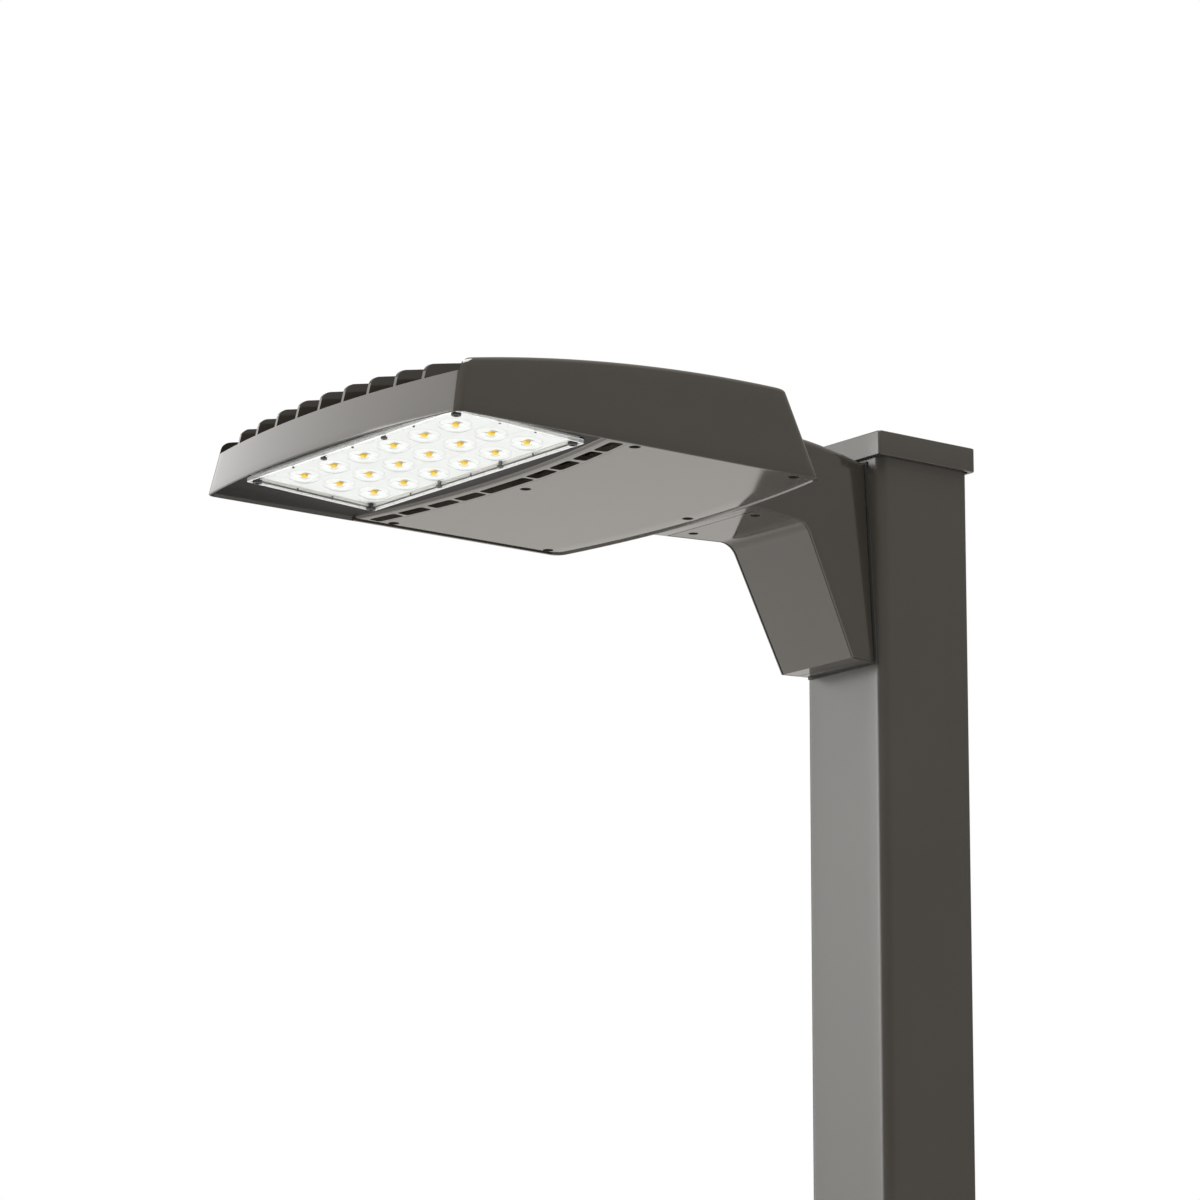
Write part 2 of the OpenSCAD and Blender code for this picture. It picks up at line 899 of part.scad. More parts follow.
module terminal_block() {
  pitch = terminal_size[1] / terminal_poles;
  color(board_white)
    at_head()
      difference() {
        translate([terminal_at[0], tail_y - terminal_at[1], door_t]) {
          linear_extrude(terminal_size[2])
            round_rect([terminal_size[0], terminal_size[1]], slot_corner_r / 2);
          linear_extrude(driver_foot_t)
            round_rect([2 * gear_tab, terminal_size[1] + 2 * gear_tab], slot_corner_r);
        }
        terminal_screw_places()
          rod(driver_screw_d / 2 + hole_gap / 2, door_t + driver_foot_t + overrun);
        for (i = [0:terminal_poles - 1])
          translate([terminal_at[0], tail_y - terminal_at[1] + (i - (terminal_poles - 1) / 2) * pitch, 0]) {
            translate([0, 0, door_t + terminal_size[2] * 2 / 3])
              rod(pitch / 4, terminal_size[2]);
            translate([0, 0, door_t + terminal_size[2] / 3])
              rotate([0, 90, 0])
                translate([0, 0, -terminal_size[0]])
                  rod(pitch / 6, 2 * terminal_size[0]);
          }
      }
}

module terminal_screws() {
  color(steel)
    at_head()
      terminal_screw_places()
        gear_screw(driver_foot_t);
}

// Half the width of the arm: it flares towards the head and towards its foot
function arm_width(y, z, inset) =
  arm_half + arm_flare_share * (pole_face_y - y) - arm_draft_share * (z + arm_drop) - inset;
function arm_side(z, inset, back_y, back_r) =
  let (back_half = arm_width(back_y - back_r, z, inset))
  concat(
    [[arm_width(tail_y - arm_wing, z, inset), tail_y - arm_wing]],
    arc([back_half - back_r, back_y - back_r], back_r, 0, 90, corner_steps)
  );
function mirrored(half) = concat(half, [for (i = [len(half) - 1:-1:0]) [-half[i][0], half[i][1]]]);

module arm_block(inset = 0, back_y = arm_back_y, back_r = arm_back_r) {
  low = -arm_drop - overrun;
  high = arm_top + overrun;
  loft(
    mirrored(arm_side(low, inset, back_y, back_r)), mirrored(arm_side(high, inset, back_y, back_r)),
    low, high
  );
}

function arm_top_at(y) = arm_top - pow(max(y - arm_top_y, 0), 2) / (2 * arm_top_r);

// The arm seen from the side, with its lower faces moved in by inset and its top by top_inset
function arm_profile(inset, top_inset) =
  let (
    foot_z = -arm_drop,
    bend_z = arm_under - arm_bend_r,
    bend_y = arm_foot_y - (arm_bend_r + (bend_z - foot_z) * sin(arm_lean)) / cos(arm_lean),
    head_y = tail_y - arm_wing
  )
  concat(
    [[pole_face_y, foot_z + inset]],
    [[arm_foot_y + inset * (1 - sin(arm_lean)) / cos(arm_lean), foot_z + inset]],
    arc([bend_y, bend_z], arm_bend_r + inset, arm_lean, 90, 2 * corner_steps),
    [[head_y, arm_under + inset], [head_y, arm_top - top_inset]],
    [for (i = [0:arc_steps])
      let (y = arm_top_y + (pole_face_y - arm_top_y) * i / arc_steps) [y, arm_top_at(y) - top_inset]]
  );

module arm_slab(points) {
  rotate([90, 0, 90])
    translate([0, 0, -head_w / 2])
      linear_extrude(head_w)
        polygon(points);
}

// The hollow of the arm, open to its cover
module arm_hollow() {
  difference() {
    intersection() {
      arm_block(inset = arm_wall, back_y = arm_back_y - arm_back_t, back_r = overrun);
      arm_slab(arm_profile(cover_t, arm_wall));
    }
    translate([-head_w / 2, tail_y - head_w, -arm_drop])
      cube([head_w, head_w + cover_front_y - tail_y + cover_land, arm_drop + cover_t + cover_land_t]);
    head_block(side = -head_seal_t - arm_flange_t, tail = -head_seal_t - arm_flange_t,
      z0 = -arm_drop, z1 = head_top);
  }
}

// The band of the arm's surface that its cover fills, thinner by trim on all sides
module cover_band(trim) {
  difference() {
    intersection() {
      arm_block(inset = cover_lip + trim);
      arm_slab(arm_profile(0, 0));
      translate([-head_w / 2, cover_front_y + trim, -2 * arm_drop])
        cube([head_w, arm_foot_y + cover_return - cover_front_y - 2 * trim, 2 * arm_drop + arm_top / 2]);
    }
    arm_slab(arm_profile(cover_t, 0));
  }
}

module cover_screw_places() {
  for (x = [-1, 1])
    translate([x * cover_screw_x, cover_front_y + cover_screw_in, arm_under])
      children();
}

module pole_bolt_places() {
  for (z = [bolt_low, bolt_high])
    translate([0, arm_back_y, z])
      rotate([-90, 0, 0])
        children();
}

module wire_place() {
  translate([0, arm_back_y, wire_z])
    rotate([-90, 0, 0])
      children();
}

module arm_casting() {
  color(paint)
    at_head()
      difference() {
        intersection() {
          arm_block();
          arm_slab(arm_profile(0, 0));
        }
        head_block(side = -head_seal_t, tail = -head_seal_t, z0 = -arm_drop, z1 = head_top);
        arm_hollow();
        cover_band(0);
        cover_screw_places()
          rod(cover_screw_d / 2 + hole_gap / 2, cover_t + 2 * cover_land_t);
        pole_bolt_places()
          translate([0, 0, -arm_back_t - overrun])
            rod(pole_bolt_d / 2 + hole_gap, arm_back_t + 2 * overrun);
        wire_place()
          translate([0, 0, -arm_back_t - overrun])
            rod(wire_r, arm_back_t + 2 * overrun);
        head_bolt_places()
          rod(head_bolt_d / 2 + thread_gap, side_h / 2);
        head_wire_place()
          rod(head_wire_r, side_h / 2);
      }
}

module arm_cover() {
  color(paint)
    at_head()
      difference() {
        cover_band(rim_gap);
        cover_screw_places() {
          translate([0, 0, -overrun])
            rod(cover_screw_d / 2 + hole_gap / 2, cover_t + 2 * overrun);
          translate([0, 0, -overrun])
            rod(cover_head_d / 2 + hole_gap / 2, cover_sink + overrun);
        }
      }
}

module arm_cover_screws() {
  color(steel)
    at_head()
      cover_screw_places()
        translate([0, 0, cover_sink])
          screw(cover_screw_d, cover_head_d, cover_head_h, cover_t + cover_land_t - cover_sink);
}

module head_gasket() {
  color(rubber)
    at_head()
      difference() {
        intersection() {
          arm_block(inset = overrun);
          arm_slab(arm_profile(overrun, overrun));
          head_block(side = thread_gap - head_seal_t, tail = thread_gap - head_seal_t,
            z0 = -arm_drop, z1 = head_top);
        }
        head_block(side = -thread_gap, tail = -thread_gap, z0 = -arm_drop, z1 = head_top);
        head_bolt_places()
          translate([0, 0, -overrun])
            rod(head_bolt_d / 2 + hole_gap / 2, side_h / 2);
        head_wire_place()
          translate([0, 0, -overrun])
            rod(head_wire_r, side_h / 2);
      }
}

// The heads of these bolts are in the driver bay
module head_bolts() {
  color(steel)
    at_head()
      head_bolt_places()
        translate([0, 0, bay_face - head_washer_t])
          screw(head_bolt_d, head_bolt_head_d, head_bolt_head_h,
            head_washer_t + bay_inset + head_seal_t + arm_flange_t);
}

module head_washers() {
  color(steel)
    at_head()
      head_bolt_places()
        translate([0, 0, bay_face - head_washer_t])
          difference() {
            rod(head_bolt_head_d / 2 + overrun, head_washer_t);
            translate([0, 0, -overrun])
              rod(head_bolt_d / 2 + thread_gap, head_washer_t + 2 * overrun);
          }
}

// A rubber ring whose lip stands on the near face of a wall and whose sleeve goes through it
module grommet(r, depth) {
  difference() {
    union() {
      translate([0, 0, -grommet_wall])
        rod(r + grommet_lip, grommet_wall);
      rod(r - thread_gap, depth);
    }
    translate([0, 0, -grommet_wall - overrun])
      rod(r - grommet_wall, depth + grommet_wall + 2 * overrun);
  }
}

module head_grommet() {
  color(rubber)
    at_head()
      head_wire_place()
        translate([0, 0, bay_face])
          grommet(head_wire_r, bay_inset);
}

module pole_grommet() {
  color(rubber)
    at_head()
      wire_place()
        translate([0, 0, -arm_back_t])
          grommet(wire_r, arm_back_t + pole_seal_t + pole_wall);
}

module pole_gasket() {
  color(rubber)
    at_head()
      difference() {
        intersection() {
          arm_block(inset = overrun, back_y = pole_face_y, back_r = arm_back_r + overrun);
          translate([-head_w / 2, arm_back_y, -arm_drop + overrun])
            cube([head_w, pole_seal_t, arm_drop + arm_top_at(pole_face_y) - 2 * overrun]);
        }
        pole_bolt_places()
          translate([0, 0, -overrun])
            rod(pole_bolt_d / 2 + hole_gap, pole_seal_t + 2 * overrun);
        wire_place()
          translate([0, 0, -overrun])
            rod(wire_r, pole_seal_t + 2 * overrun);
      }
}

module pole_bolts() {
  color(steel)
    at_head()
      pole_bolt_places()
        translate([0, 0, -arm_back_t - bolt_washer_t]) {
          translate([0, 0, -bolt_head_h])
            cylinder(d = bolt_head_share * pole_bolt_d, h = bolt_head_h, $fn = 6);
          rod(pole_bolt_d / 2,
            bolt_washer_t + arm_back_t + pole_seal_t + pole_wall + backing_gap + backing_t + bolt_tail);
        }
}

module pole_washers() {
  color(steel)
    at_head()
      pole_bolt_places()
        translate([0, 0, -arm_back_t - bolt_washer_t])
          difference() {
            rod(pole_bolt_d, bolt_washer_t);
            translate([0, 0, -overrun])
              rod(pole_bolt_d / 2 + thread_gap, bolt_washer_t + 2 * overrun);
          }
}

module pole_backing_plate() {
  color(steel)
    at_head()
      difference() {
        translate([-backing_w / 2, pole_face_y + pole_wall + backing_gap, bolt_low - backing_over])
          cube([backing_w, backing_t, bolt_high - bolt_low + 2 * backing_over]);
        pole_bolt_places()
          rod(pole_bolt_d / 2 + thread_gap, pole_w / 2);
        wire_place()
          rod(wire_r + grommet_lip, pole_w / 2);
      }
}

module pole_section() {
  color(paint)
    difference() {
      linear_extrude(pole_below + pole_above)
        difference() {
          round_rect([pole_w, pole_w], pole_corner_r);
          round_rect([pole_w - 2 * pole_wall, pole_w - 2 * pole_wall], pole_corner_r - pole_wall);
        }
      at_head() {
        pole_bolt_places()
          rod(pole_bolt_d / 2 + hole_gap, pole_w / 2);
        wire_place()
          rod(wire_r, pole_w / 2);
      }
    }
}

module pole_cap() {
  color(paint)
    at_head()
      translate([0, 0, pole_above])
        difference() {
          translate([0, 0, -cap_skirt])
            linear_extrude(cap_skirt + cap_top)
              round_rect([cap_w, cap_w], cap_corner_r);
          translate([0, 0, -cap_skirt - overrun])
            linear_extrude(cap_skirt + overrun)
              round_rect([pole_w + 2 * cap_gap, pole_w + 2 * cap_gap], pole_corner_r / 2);
        }
}

pole_section();
pole_cap();
pole_backing_plate();
pole_bolts();
pole_washers();
pole_gasket();
pole_grommet();
arm_casting();
arm_cover();
arm_cover_screws();
head_gasket();
head_bolts();
head_washers();
head_grommet();
housing();
lens_bezel();
thermal_pad();
led_board();
led_chips();
lens_gasket();
optic_lens();
lens_corner_screws();
lens_clamp_screws();
lens_edge_pins();
driver_door();
door_gasket();
door_screws();
led_driver();
driver_screws();
surge_protector();
surge_screws();
terminal_block();
terminal_screws();
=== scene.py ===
# Shoebox area light on its square pole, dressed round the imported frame
from math import cos, pi, radians, sin
import bpy
import numpy as np
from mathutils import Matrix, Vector


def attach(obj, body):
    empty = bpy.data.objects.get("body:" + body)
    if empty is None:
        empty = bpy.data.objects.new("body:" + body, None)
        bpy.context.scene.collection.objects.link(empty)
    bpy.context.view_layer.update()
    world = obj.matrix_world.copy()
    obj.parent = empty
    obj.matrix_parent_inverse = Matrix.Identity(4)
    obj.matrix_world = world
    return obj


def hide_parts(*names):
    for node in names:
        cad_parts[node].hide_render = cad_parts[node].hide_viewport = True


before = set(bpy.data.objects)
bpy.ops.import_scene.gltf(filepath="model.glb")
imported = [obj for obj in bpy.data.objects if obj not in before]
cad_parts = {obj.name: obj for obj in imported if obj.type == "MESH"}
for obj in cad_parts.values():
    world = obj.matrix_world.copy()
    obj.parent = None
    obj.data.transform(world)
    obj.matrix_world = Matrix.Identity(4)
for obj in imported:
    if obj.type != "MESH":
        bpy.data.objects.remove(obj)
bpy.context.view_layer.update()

# Lengths below are in millimetres from the head's underside, and lift takes them to the pole's foot
mm = 0.001
lift = 600


# Camera, where the photographer stood: below the head, to the right of its nose
photoCamera = {
    "place": (3.0687, -2.6859, -0.3395),
    "azimuth": 52.282,
    "pitch": 11.046,
    "lens": 145.36,
    "sensor": 36,
    "shiftUp": 0.1,
}


# An ordinary camera, turned by pitch and azimuth, with the frame's middle moved by a shift
def setCamera(c):
    data = bpy.data.cameras.new("photoCamera")
    data.lens = c["lens"]
    data.sensor_width = c["sensor"]
    data.shift_y = c["shiftUp"]
    data.clip_end = 60
    camera = bpy.data.objects.new("photoCamera", data)
    camera.location = c["place"]
    camera.rotation_euler = (radians(90 + c["pitch"]), 0, radians(c["azimuth"]))
    bpy.context.collection.objects.link(camera)
    bpy.context.scene.camera = camera


setCamera(photoCamera)
bpy.context.scene.view_settings.view_transform = "Standard"
print("camera set")


# Shader maths: an expression on wires adds its Math nodes
class Wire:
    def __init__(self, tree, socket):
        self.tree = tree
        self.socket = socket

    def math(self, operation, *others):
        values = dict(enumerate((self,) + others))
        return addNode(self.tree, "ShaderNodeMath", {"operation": operation}, values)

    def swapped(self, operation, other):
        return addNode(self.tree, "ShaderNodeMath", {"operation": operation}, {0: other, 1: self})

    # Held between nothing and one
    def held(self):
        return self.math("MAXIMUM", 0).math("MINIMUM", 1)

    def __add__(self, other):
        return self.math("ADD", other)

    def __radd__(self, other):
        return self.math("ADD", other)

    def __sub__(self, other):
        return self.math("SUBTRACT", other)

    def __rsub__(self, other):
        return self.swapped("SUBTRACT", other)

    def __mul__(self, other):
        return self.math("MULTIPLY", other)

    def __rmul__(self, other):
        return self.math("MULTIPLY", other)

    def __truediv__(self, other):
        return self.math("DIVIDE", other)


# One way in for every node: its settings first, then the values or wires of its sockets
def addNode(tree, kind, settings=None, values=None, out=0):
    node = tree.nodes.new(kind)
    for key, value in (settings or {}).items():
        setattr(node, key, value)
    for key, value in (values or {}).items():
        if isinstance(value, Wire):
            tree.links.new(value.socket, node.inputs[key])
        else:
            node.inputs[key].default_value = value
    return Wire(tree, node.outputs[out]) if len(node.outputs) else None


# A material without nodes, its tree and the object's coordinates
def startMaterial(name):
    material = bpy.data.materials.new(name)
    material.use_nodes = True
    tree = material.node_tree
    tree.nodes.clear()
    place = addNode(tree, "ShaderNodeTexCoord", out=3)
    return material, tree, place


# The last nodes of a finish: a Principled shader, if surface is a dictionary of its values, and the output
def finishMaterial(material, surface):
    tree = material.node_tree
    if isinstance(surface, dict):
        surface = addNode(tree, "ShaderNodeBsdfPrincipled", values=surface)
    addNode(tree, "ShaderNodeOutputMaterial", values={"Surface": surface})
    return material


def rgba(colour):
    return (colour[0], colour[1], colour[2], 1)


# Soft noise, from nothing to one, by its scale and its levels of detail
def noiseAt(tree, place, scale, detail):
    return addNode(tree, "ShaderNodeTexNoise", values={"Vector": place, "Scale": scale, "Detail": detail})


# A normal from a height, on another normal if there is one
def bumpOf(tree, height, strength, distance, normal=None):
    values = {"Strength": strength, "Distance": distance, "Height": height}
    if normal:
        values["Normal"] = normal
    return addNode(tree, "ShaderNodeBump", values=values)


def outputOf(wire, name):
    return Wire(wire.tree, wire.socket.node.outputs[name])


# A number from one or two vectors
def vectorMath(tree, operation, *vectors):
    values = dict(enumerate(vectors))
    return addNode(tree, "ShaderNodeVectorMath", {"operation": operation}, values, out="Value")


# A colour between two, each a wire or three numbers
def mixColour(tree, share, first, second):
    def asValue(colour):
        return colour if isinstance(colour, Wire) else rgba(colour)
    values = {0: share, 6: asValue(first), 7: asValue(second)}
    return addNode(tree, "ShaderNodeMix", {"data_type": "RGBA"}, values, out=2)


# Opaque finishes: two close tones in soft clouds, a roughness that follows them, and bumps one on another.
# clouds and each bump start with a scale and a detail, and a bump goes on with its strength and depth.
# The powder coats have orange peel a millimetre or two across under a finer grain
finishes = {
    "bronze_paint": {
        "light": (0.038, 0.033, 0.027), "dark": (0.032, 0.028, 0.023), "rough": 0.09, "spread": 0.03,
        "clouds": (14, 3), "bumps": [(520, 1, 0.03, 0.0004), (2600, 1, 0.02, 0.0001)],
    },
    "pole_paint": {
        "light": (0.046, 0.041, 0.034), "dark": (0.039, 0.035, 0.029), "rough": 0.3, "spread": 0.06,
        "clouds": (14, 3), "bumps": [(520, 1, 0.06, 0.0004), (2600, 1, 0.04, 0.0001)],
    },
    # The bezel's paint is a darker frame of its own, set darker and duller still as painted shade of the
    # recess it lies in
    "bezel_paint": {
        "light": (0.030, 0.028, 0.027), "dark": (0.024, 0.023, 0.022), "rough": 0.5, "spread": 0.08,
        "clouds": (14, 3), "bumps": [(520, 1, 0.1, 0.0004), (2600, 1, 0.08, 0.0001)], "shine": 0.13,
    },
    "plated_steel": {"light": (0.62, 0.62, 0.62), "dark": (0.42, 0.42, 0.43), "rough": 0.34, "spread": 0.2,
                     "clouds": (160, 4), "bumps": [(3000, 2, 0.08, 0.0001)], "metal": 1},
    "screw_steel": {"light": (0.20, 0.19, 0.18), "dark": (0.10, 0.10, 0.10), "rough": 0.3, "spread": 0.2,
                    "clouds": (500, 4), "bumps": [(3000, 2, 0.08, 0.0001)], "metal": 1},
    "black_rubber": {"light": (0.022, 0.022, 0.022), "dark": (0.015, 0.015, 0.015), "rough": 0.7,
                     "bumps": [(900, 2, 0.25, 0.0002)]},
    "black_plastic": {"light": (0.035, 0.035, 0.037), "dark": (0.028, 0.028, 0.03), "rough": 0.45,
                      "bumps": [(1500, 2, 0.2, 0.0002)]},
    "white_plastic": {"light": (0.80, 0.79, 0.75), "dark": (0.74, 0.73, 0.69), "rough": 0.45,
                      "bumps": [(1200, 2, 0.12, 0.0002)]},
    "driver_can": {"light": (0.76, 0.76, 0.74), "dark": (0.70, 0.70, 0.68), "rough": 0.32,
                   "bumps": [(700, 2, 0.08, 0.0002)]},
    "thermal_sheet": {"light": (0.30, 0.30, 0.33), "dark": (0.24, 0.24, 0.26), "rough": 0.8,
                      "bumps": [(1100, 2, 0.3, 0.0002)]},
}
plainFinish = {"spread": 0.08, "clouds": (40, 3), "metal": 0, "shine": 0.5}


def opaque(name, c):
    material, tree, place = startMaterial(name)
    clouds = noiseAt(tree, place, *c["clouds"])
    normal = None
    for scale, detail, strength, depth in c["bumps"]:
        normal = bumpOf(tree, noiseAt(tree, place, scale, detail), strength, depth, normal)
    return finishMaterial(material, {
        "Base Color": mixColour(tree, clouds, c["dark"], c["light"]), "Normal": normal,
        "Roughness": c["rough"] - c["spread"] / 2 + clouds * c["spread"],
        "Metallic": c["metal"], "Specular IOR Level": c["shine"]})


# The lamp: the optic and its light sources, in a plane of their own that leans down towards the tail.
# Its origin is the middle of the light sources, and the optic's own middle is shift away from it
lamp = {
    "y": -500.8, "z": 8.9, "tilt": -2.9, "floor": 2.1, "pitchX": 41.7, "pitchY": 34.66,
    "columns": 6, "rows": 3, "shift": -1.6, "halfX": 144.5, "halfY": 63.5,
}


# Across and along the lamp in millimetres: the object's place turned by the tilt
def lampWires(tree, place):
    split = addNode(tree, "ShaderNodeSeparateXYZ", values={0: place})
    tilt = radians(lamp["tilt"])
    along = outputOf(split, "Y") * 1000 - lamp["y"]
    up = outputOf(split, "Z") * 1000 - (lamp["z"] + lift)
    return split * 1000, along * cos(tilt) + up * sin(tilt)


# From the nearest light source, across, along and straight: what is left over of a pitch, from its middle
def sourceWires(x, y):
    across = ((x / lamp["pitchX"]).math("FRACT") - 0.5) * lamp["pitchX"]
    along = ((y / lamp["pitchY"] + 0.5).math("FRACT") - 0.5) * lamp["pitchY"]
    return across, along, (across * across + along * along).math("SQRT")


# A soft line: one at the middle of it, falling to nothing half its width away
def lineOf(distance, width):
    return (1 - distance.math("ABSOLUTE") / (width / 2)).math("MAXIMUM", 0)


# White board: solder mask with a weave under it, a whiter disc under each dome edged by a painted grey shadow
# outline, violet-grey patches beside each light source, and pale wavy tracks between the rows
def whiteBoard(name):
    material, tree, place = startMaterial(name)
    weave = noiseAt(tree, place, 900, 2)
    cloud = noiseAt(tree, place, 60, 2)
    x, y = lampWires(tree, place)
    across, along, away = sourceWires(x, y)
    mask = mixColour(tree, cloud, (0.86, 0.87, 0.87), (0.91, 0.92, 0.92))
    discR = 12.6
    colour = mixColour(tree, ((discR - away) / 0.8).held(), mask, (0.96, 0.97, 0.97))
    # Painted shade: a grey ring at each dome's edge, the faint shadow outline of the dome
    colour = mixColour(tree, lineOf(away - discR, 1.4) * 0.45, colour, (0.45, 0.46, 0.47))
    violetPatches = lineOf(across.math("ABSOLUTE") - 4.4, 3.4) * lineOf(along, 9)
    colour = mixColour(tree, (violetPatches * 2.2).math("MINIMUM", 0.8), colour, (0.26, 0.25, 0.33))
    wave = (x * 0.045).math("SINE") * 3
    track = lineOf(y.math("ABSOLUTE") - 17.3 - wave, 1.6)  # half a pitch from the middle row
    colour = mixColour(tree, track * 0.3, colour, (0.5, 0.5, 0.5))
    return finishMaterial(material, {
        "Base Color": colour, "Roughness": 0.4, "Normal": bumpOf(tree, weave, 0.05, 0.0001)})


# Light source: two yellows in a fine grain
def phosphor(name):
    material, tree, place = startMaterial(name)
    grain = noiseAt(tree, place, 2500, 3)
    colour = mixColour(tree, grain, (0.95, 0.60, 0.05), (1.0, 0.72, 0.11))
    return finishMaterial(material, {
        "Base Color": colour, "Roughness": 0.45, "Normal": bumpOf(tree, grain, 0.15, 0.0001)})


# Clear acrylic: light goes straight through to the board, and the outer surface keeps its gloss.
# Painted refraction lines: the moulded steps near the edge and each dome's edge, as seen through it, are thin
# dark strokes where more gloss shows; a whitish band runs along the edge
def clearOptic(name):
    material, tree, place = startMaterial(name)
    flow = noiseAt(tree, place, 60, 1)
    x, y = lampWires(tree, place)
    away = sourceWires(x, y)[2]
    toSide = lamp["halfX"] - x.math("ABSOLUTE")
    edge = toSide.math("MINIMUM", lamp["halfY"] - (y - lamp["shift"]).math("ABSOLUTE"))
    # Painted refraction lines: dark strokes along the moulded steps near the edge and round each dome
    refractionLines = lineOf(edge - 3.3, 0.8) * 0.75 + lineOf(edge - 5.2, 0.7) * 0.5 + lineOf(edge - 7, 0.6) * 0.4
    refractionLines = refractionLines + lineOf(away - 12.2, 0.9) * 0.35
    rim = ((3.9 - edge) * 3).math("MINIMUM", 0.65).math("MAXIMUM", 0)
    tint = mixColour(tree, (rim * 4).math("MINIMUM", 1), (0.02, 0.02, 0.02), (0.95, 0.96, 0.96))
    tint = mixColour(tree, refractionLines.math("MINIMUM", 1), tint, (0.10, 0.10, 0.08))
    refractionLines = refractionLines.math("MAXIMUM", rim)
    gloss = addNode(tree, "ShaderNodeBsdfPrincipled", values={
        "Base Color": tint, "Roughness": 0.05, "Normal": bumpOf(tree, flow, 0.03, 0.0004)})
    through = addNode(tree, "ShaderNodeBsdfTransparent", values={"Color": (0.985, 0.99, 0.988, 1)})
    mirror = addNode(tree, "ShaderNodeFresnel", values={"IOR": 1.45})
    inside = addNode(tree, "ShaderNodeNewGeometry", out=6)
    share = (mirror * 0.8).math("MAXIMUM", refractionLines) * (1 - inside)
    surface = addNode(tree, "ShaderNodeMixShader", values={0: share, 1: through, 2: gloss})
    return finishMaterial(material, surface)


materials = {
    "clear_optic": clearOptic("clearOptic"),
    "white_board": whiteBoard("whiteBoard"),
    "phosphor": phosphor("phosphor"),
}
for slotName, finish in finishes.items():
    first, second = slotName.split("_")
    materials[slotName] = opaque(first + second.title(), plainFinish | finish)
print("materials made")


# Every CAD node gets the finish of its slot
for nodeName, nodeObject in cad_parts.items():
    slotName = nodeObject.material_slots[0].material.name.split(".")[0]
    if slotName in materials:
        nodeObject.material_slots[0].material = materials[slotName]
    else:
        print("no finish for", nodeName, slotName)


# Floor and light. The floor is white to the camera from fadeNear to fadeFar out, and what the object mirrors
# of it is a glow, brighter about glowSpot. What the paint mirrors of the room is dim, with a soft glow to one
# side and above
studio = {
    "floorZ": -1.3, "floorSize": 30, "floorWhite": 0.9, "floorMottle": 0.01, "fadeNear": 1.6, "fadeFar": 3.4,
    "tint": (1, 0.972, 0.925), "glow": 1.05, "glowSpot": (-3.4, -2.4, -1.3), "glowNear": 1, "glowFar": 2.6,
    "glowMore": 1.8, "ambient": 0.4, "dim": 0.15, "sideWay": (0.79, 0.61, 0), "sideGlow": 0.35,
    "skyGlow": 0.6,
    "lamps": [
        {"name": "softLeft", "place": (-3.95, -2.66, 1.5), "size": (5.6, 4.6), "power": 182},
        {"name": "key", "place": (-2.4, -4.2, 1.6), "size": (2.4, 2.4), "power": 100},
        {"name": "top", "place": (0.5, -0.8, 4.2), "size": (3, 3), "power": 365},
    ],
    "aim": (0, -0.25, 0.6),
}


# The world: white to the camera, a plain level to the object, and to its mirror a fourth power of the cosine
# from sideWay and a share of the height
def setWorld(s):
    world = bpy.data.worlds.new("studio")
    bpy.context.scene.world = world
    world.use_nodes = True
    tree = world.node_tree
    tree.nodes.clear()
    path = addNode(tree, "ShaderNodeLightPath")
    seen = outputOf(path, "Is Camera Ray")
    for name in ("Is Glossy Ray", "Is Transmission Ray"):
        seen = seen.math("MAXIMUM", outputOf(path, name))
    away = addNode(tree, "ShaderNodeTexCoord")
    toSide = vectorMath(tree, "DOT_PRODUCT", away, s["sideWay"])
    up = addNode(tree, "ShaderNodeSeparateXYZ", values={0: away}, out="Z").math("MAXIMUM", 0)
    lit = s["dim"] + toSide.math("MAXIMUM", 0).math("POWER", 4) * s["sideGlow"] + up * s["skyGlow"]
    dimmed = (1 - lit.math("MINIMUM", 1)) * outputOf(path, "Is Glossy Ray")
    strength = s["ambient"] + seen * (1 - s["ambient"]) - dimmed
    colour = mixColour(tree, outputOf(path, "Is Camera Ray"), s["tint"], (1, 1, 1))
    back = addNode(tree, "ShaderNodeBackground", values={"Color": colour, "Strength": strength})
    addNode(tree, "ShaderNodeOutputWorld", values={"Surface": back})


def setLamp(c, aim):
    data = bpy.data.lights.new(c["name"], "AREA")
    data.shape = "RECTANGLE"
    data.size = c["size"][0]
    data.size_y = c["size"][1]
    data.energy = c["power"]
    light = bpy.data.objects.new(c["name"], data)
    light.location = c["place"]
    light.rotation_euler = (Vector(aim) - Vector(c["place"])).to_track_quat("-Z", "Y").to_euler()
    bpy.context.collection.objects.link(light)


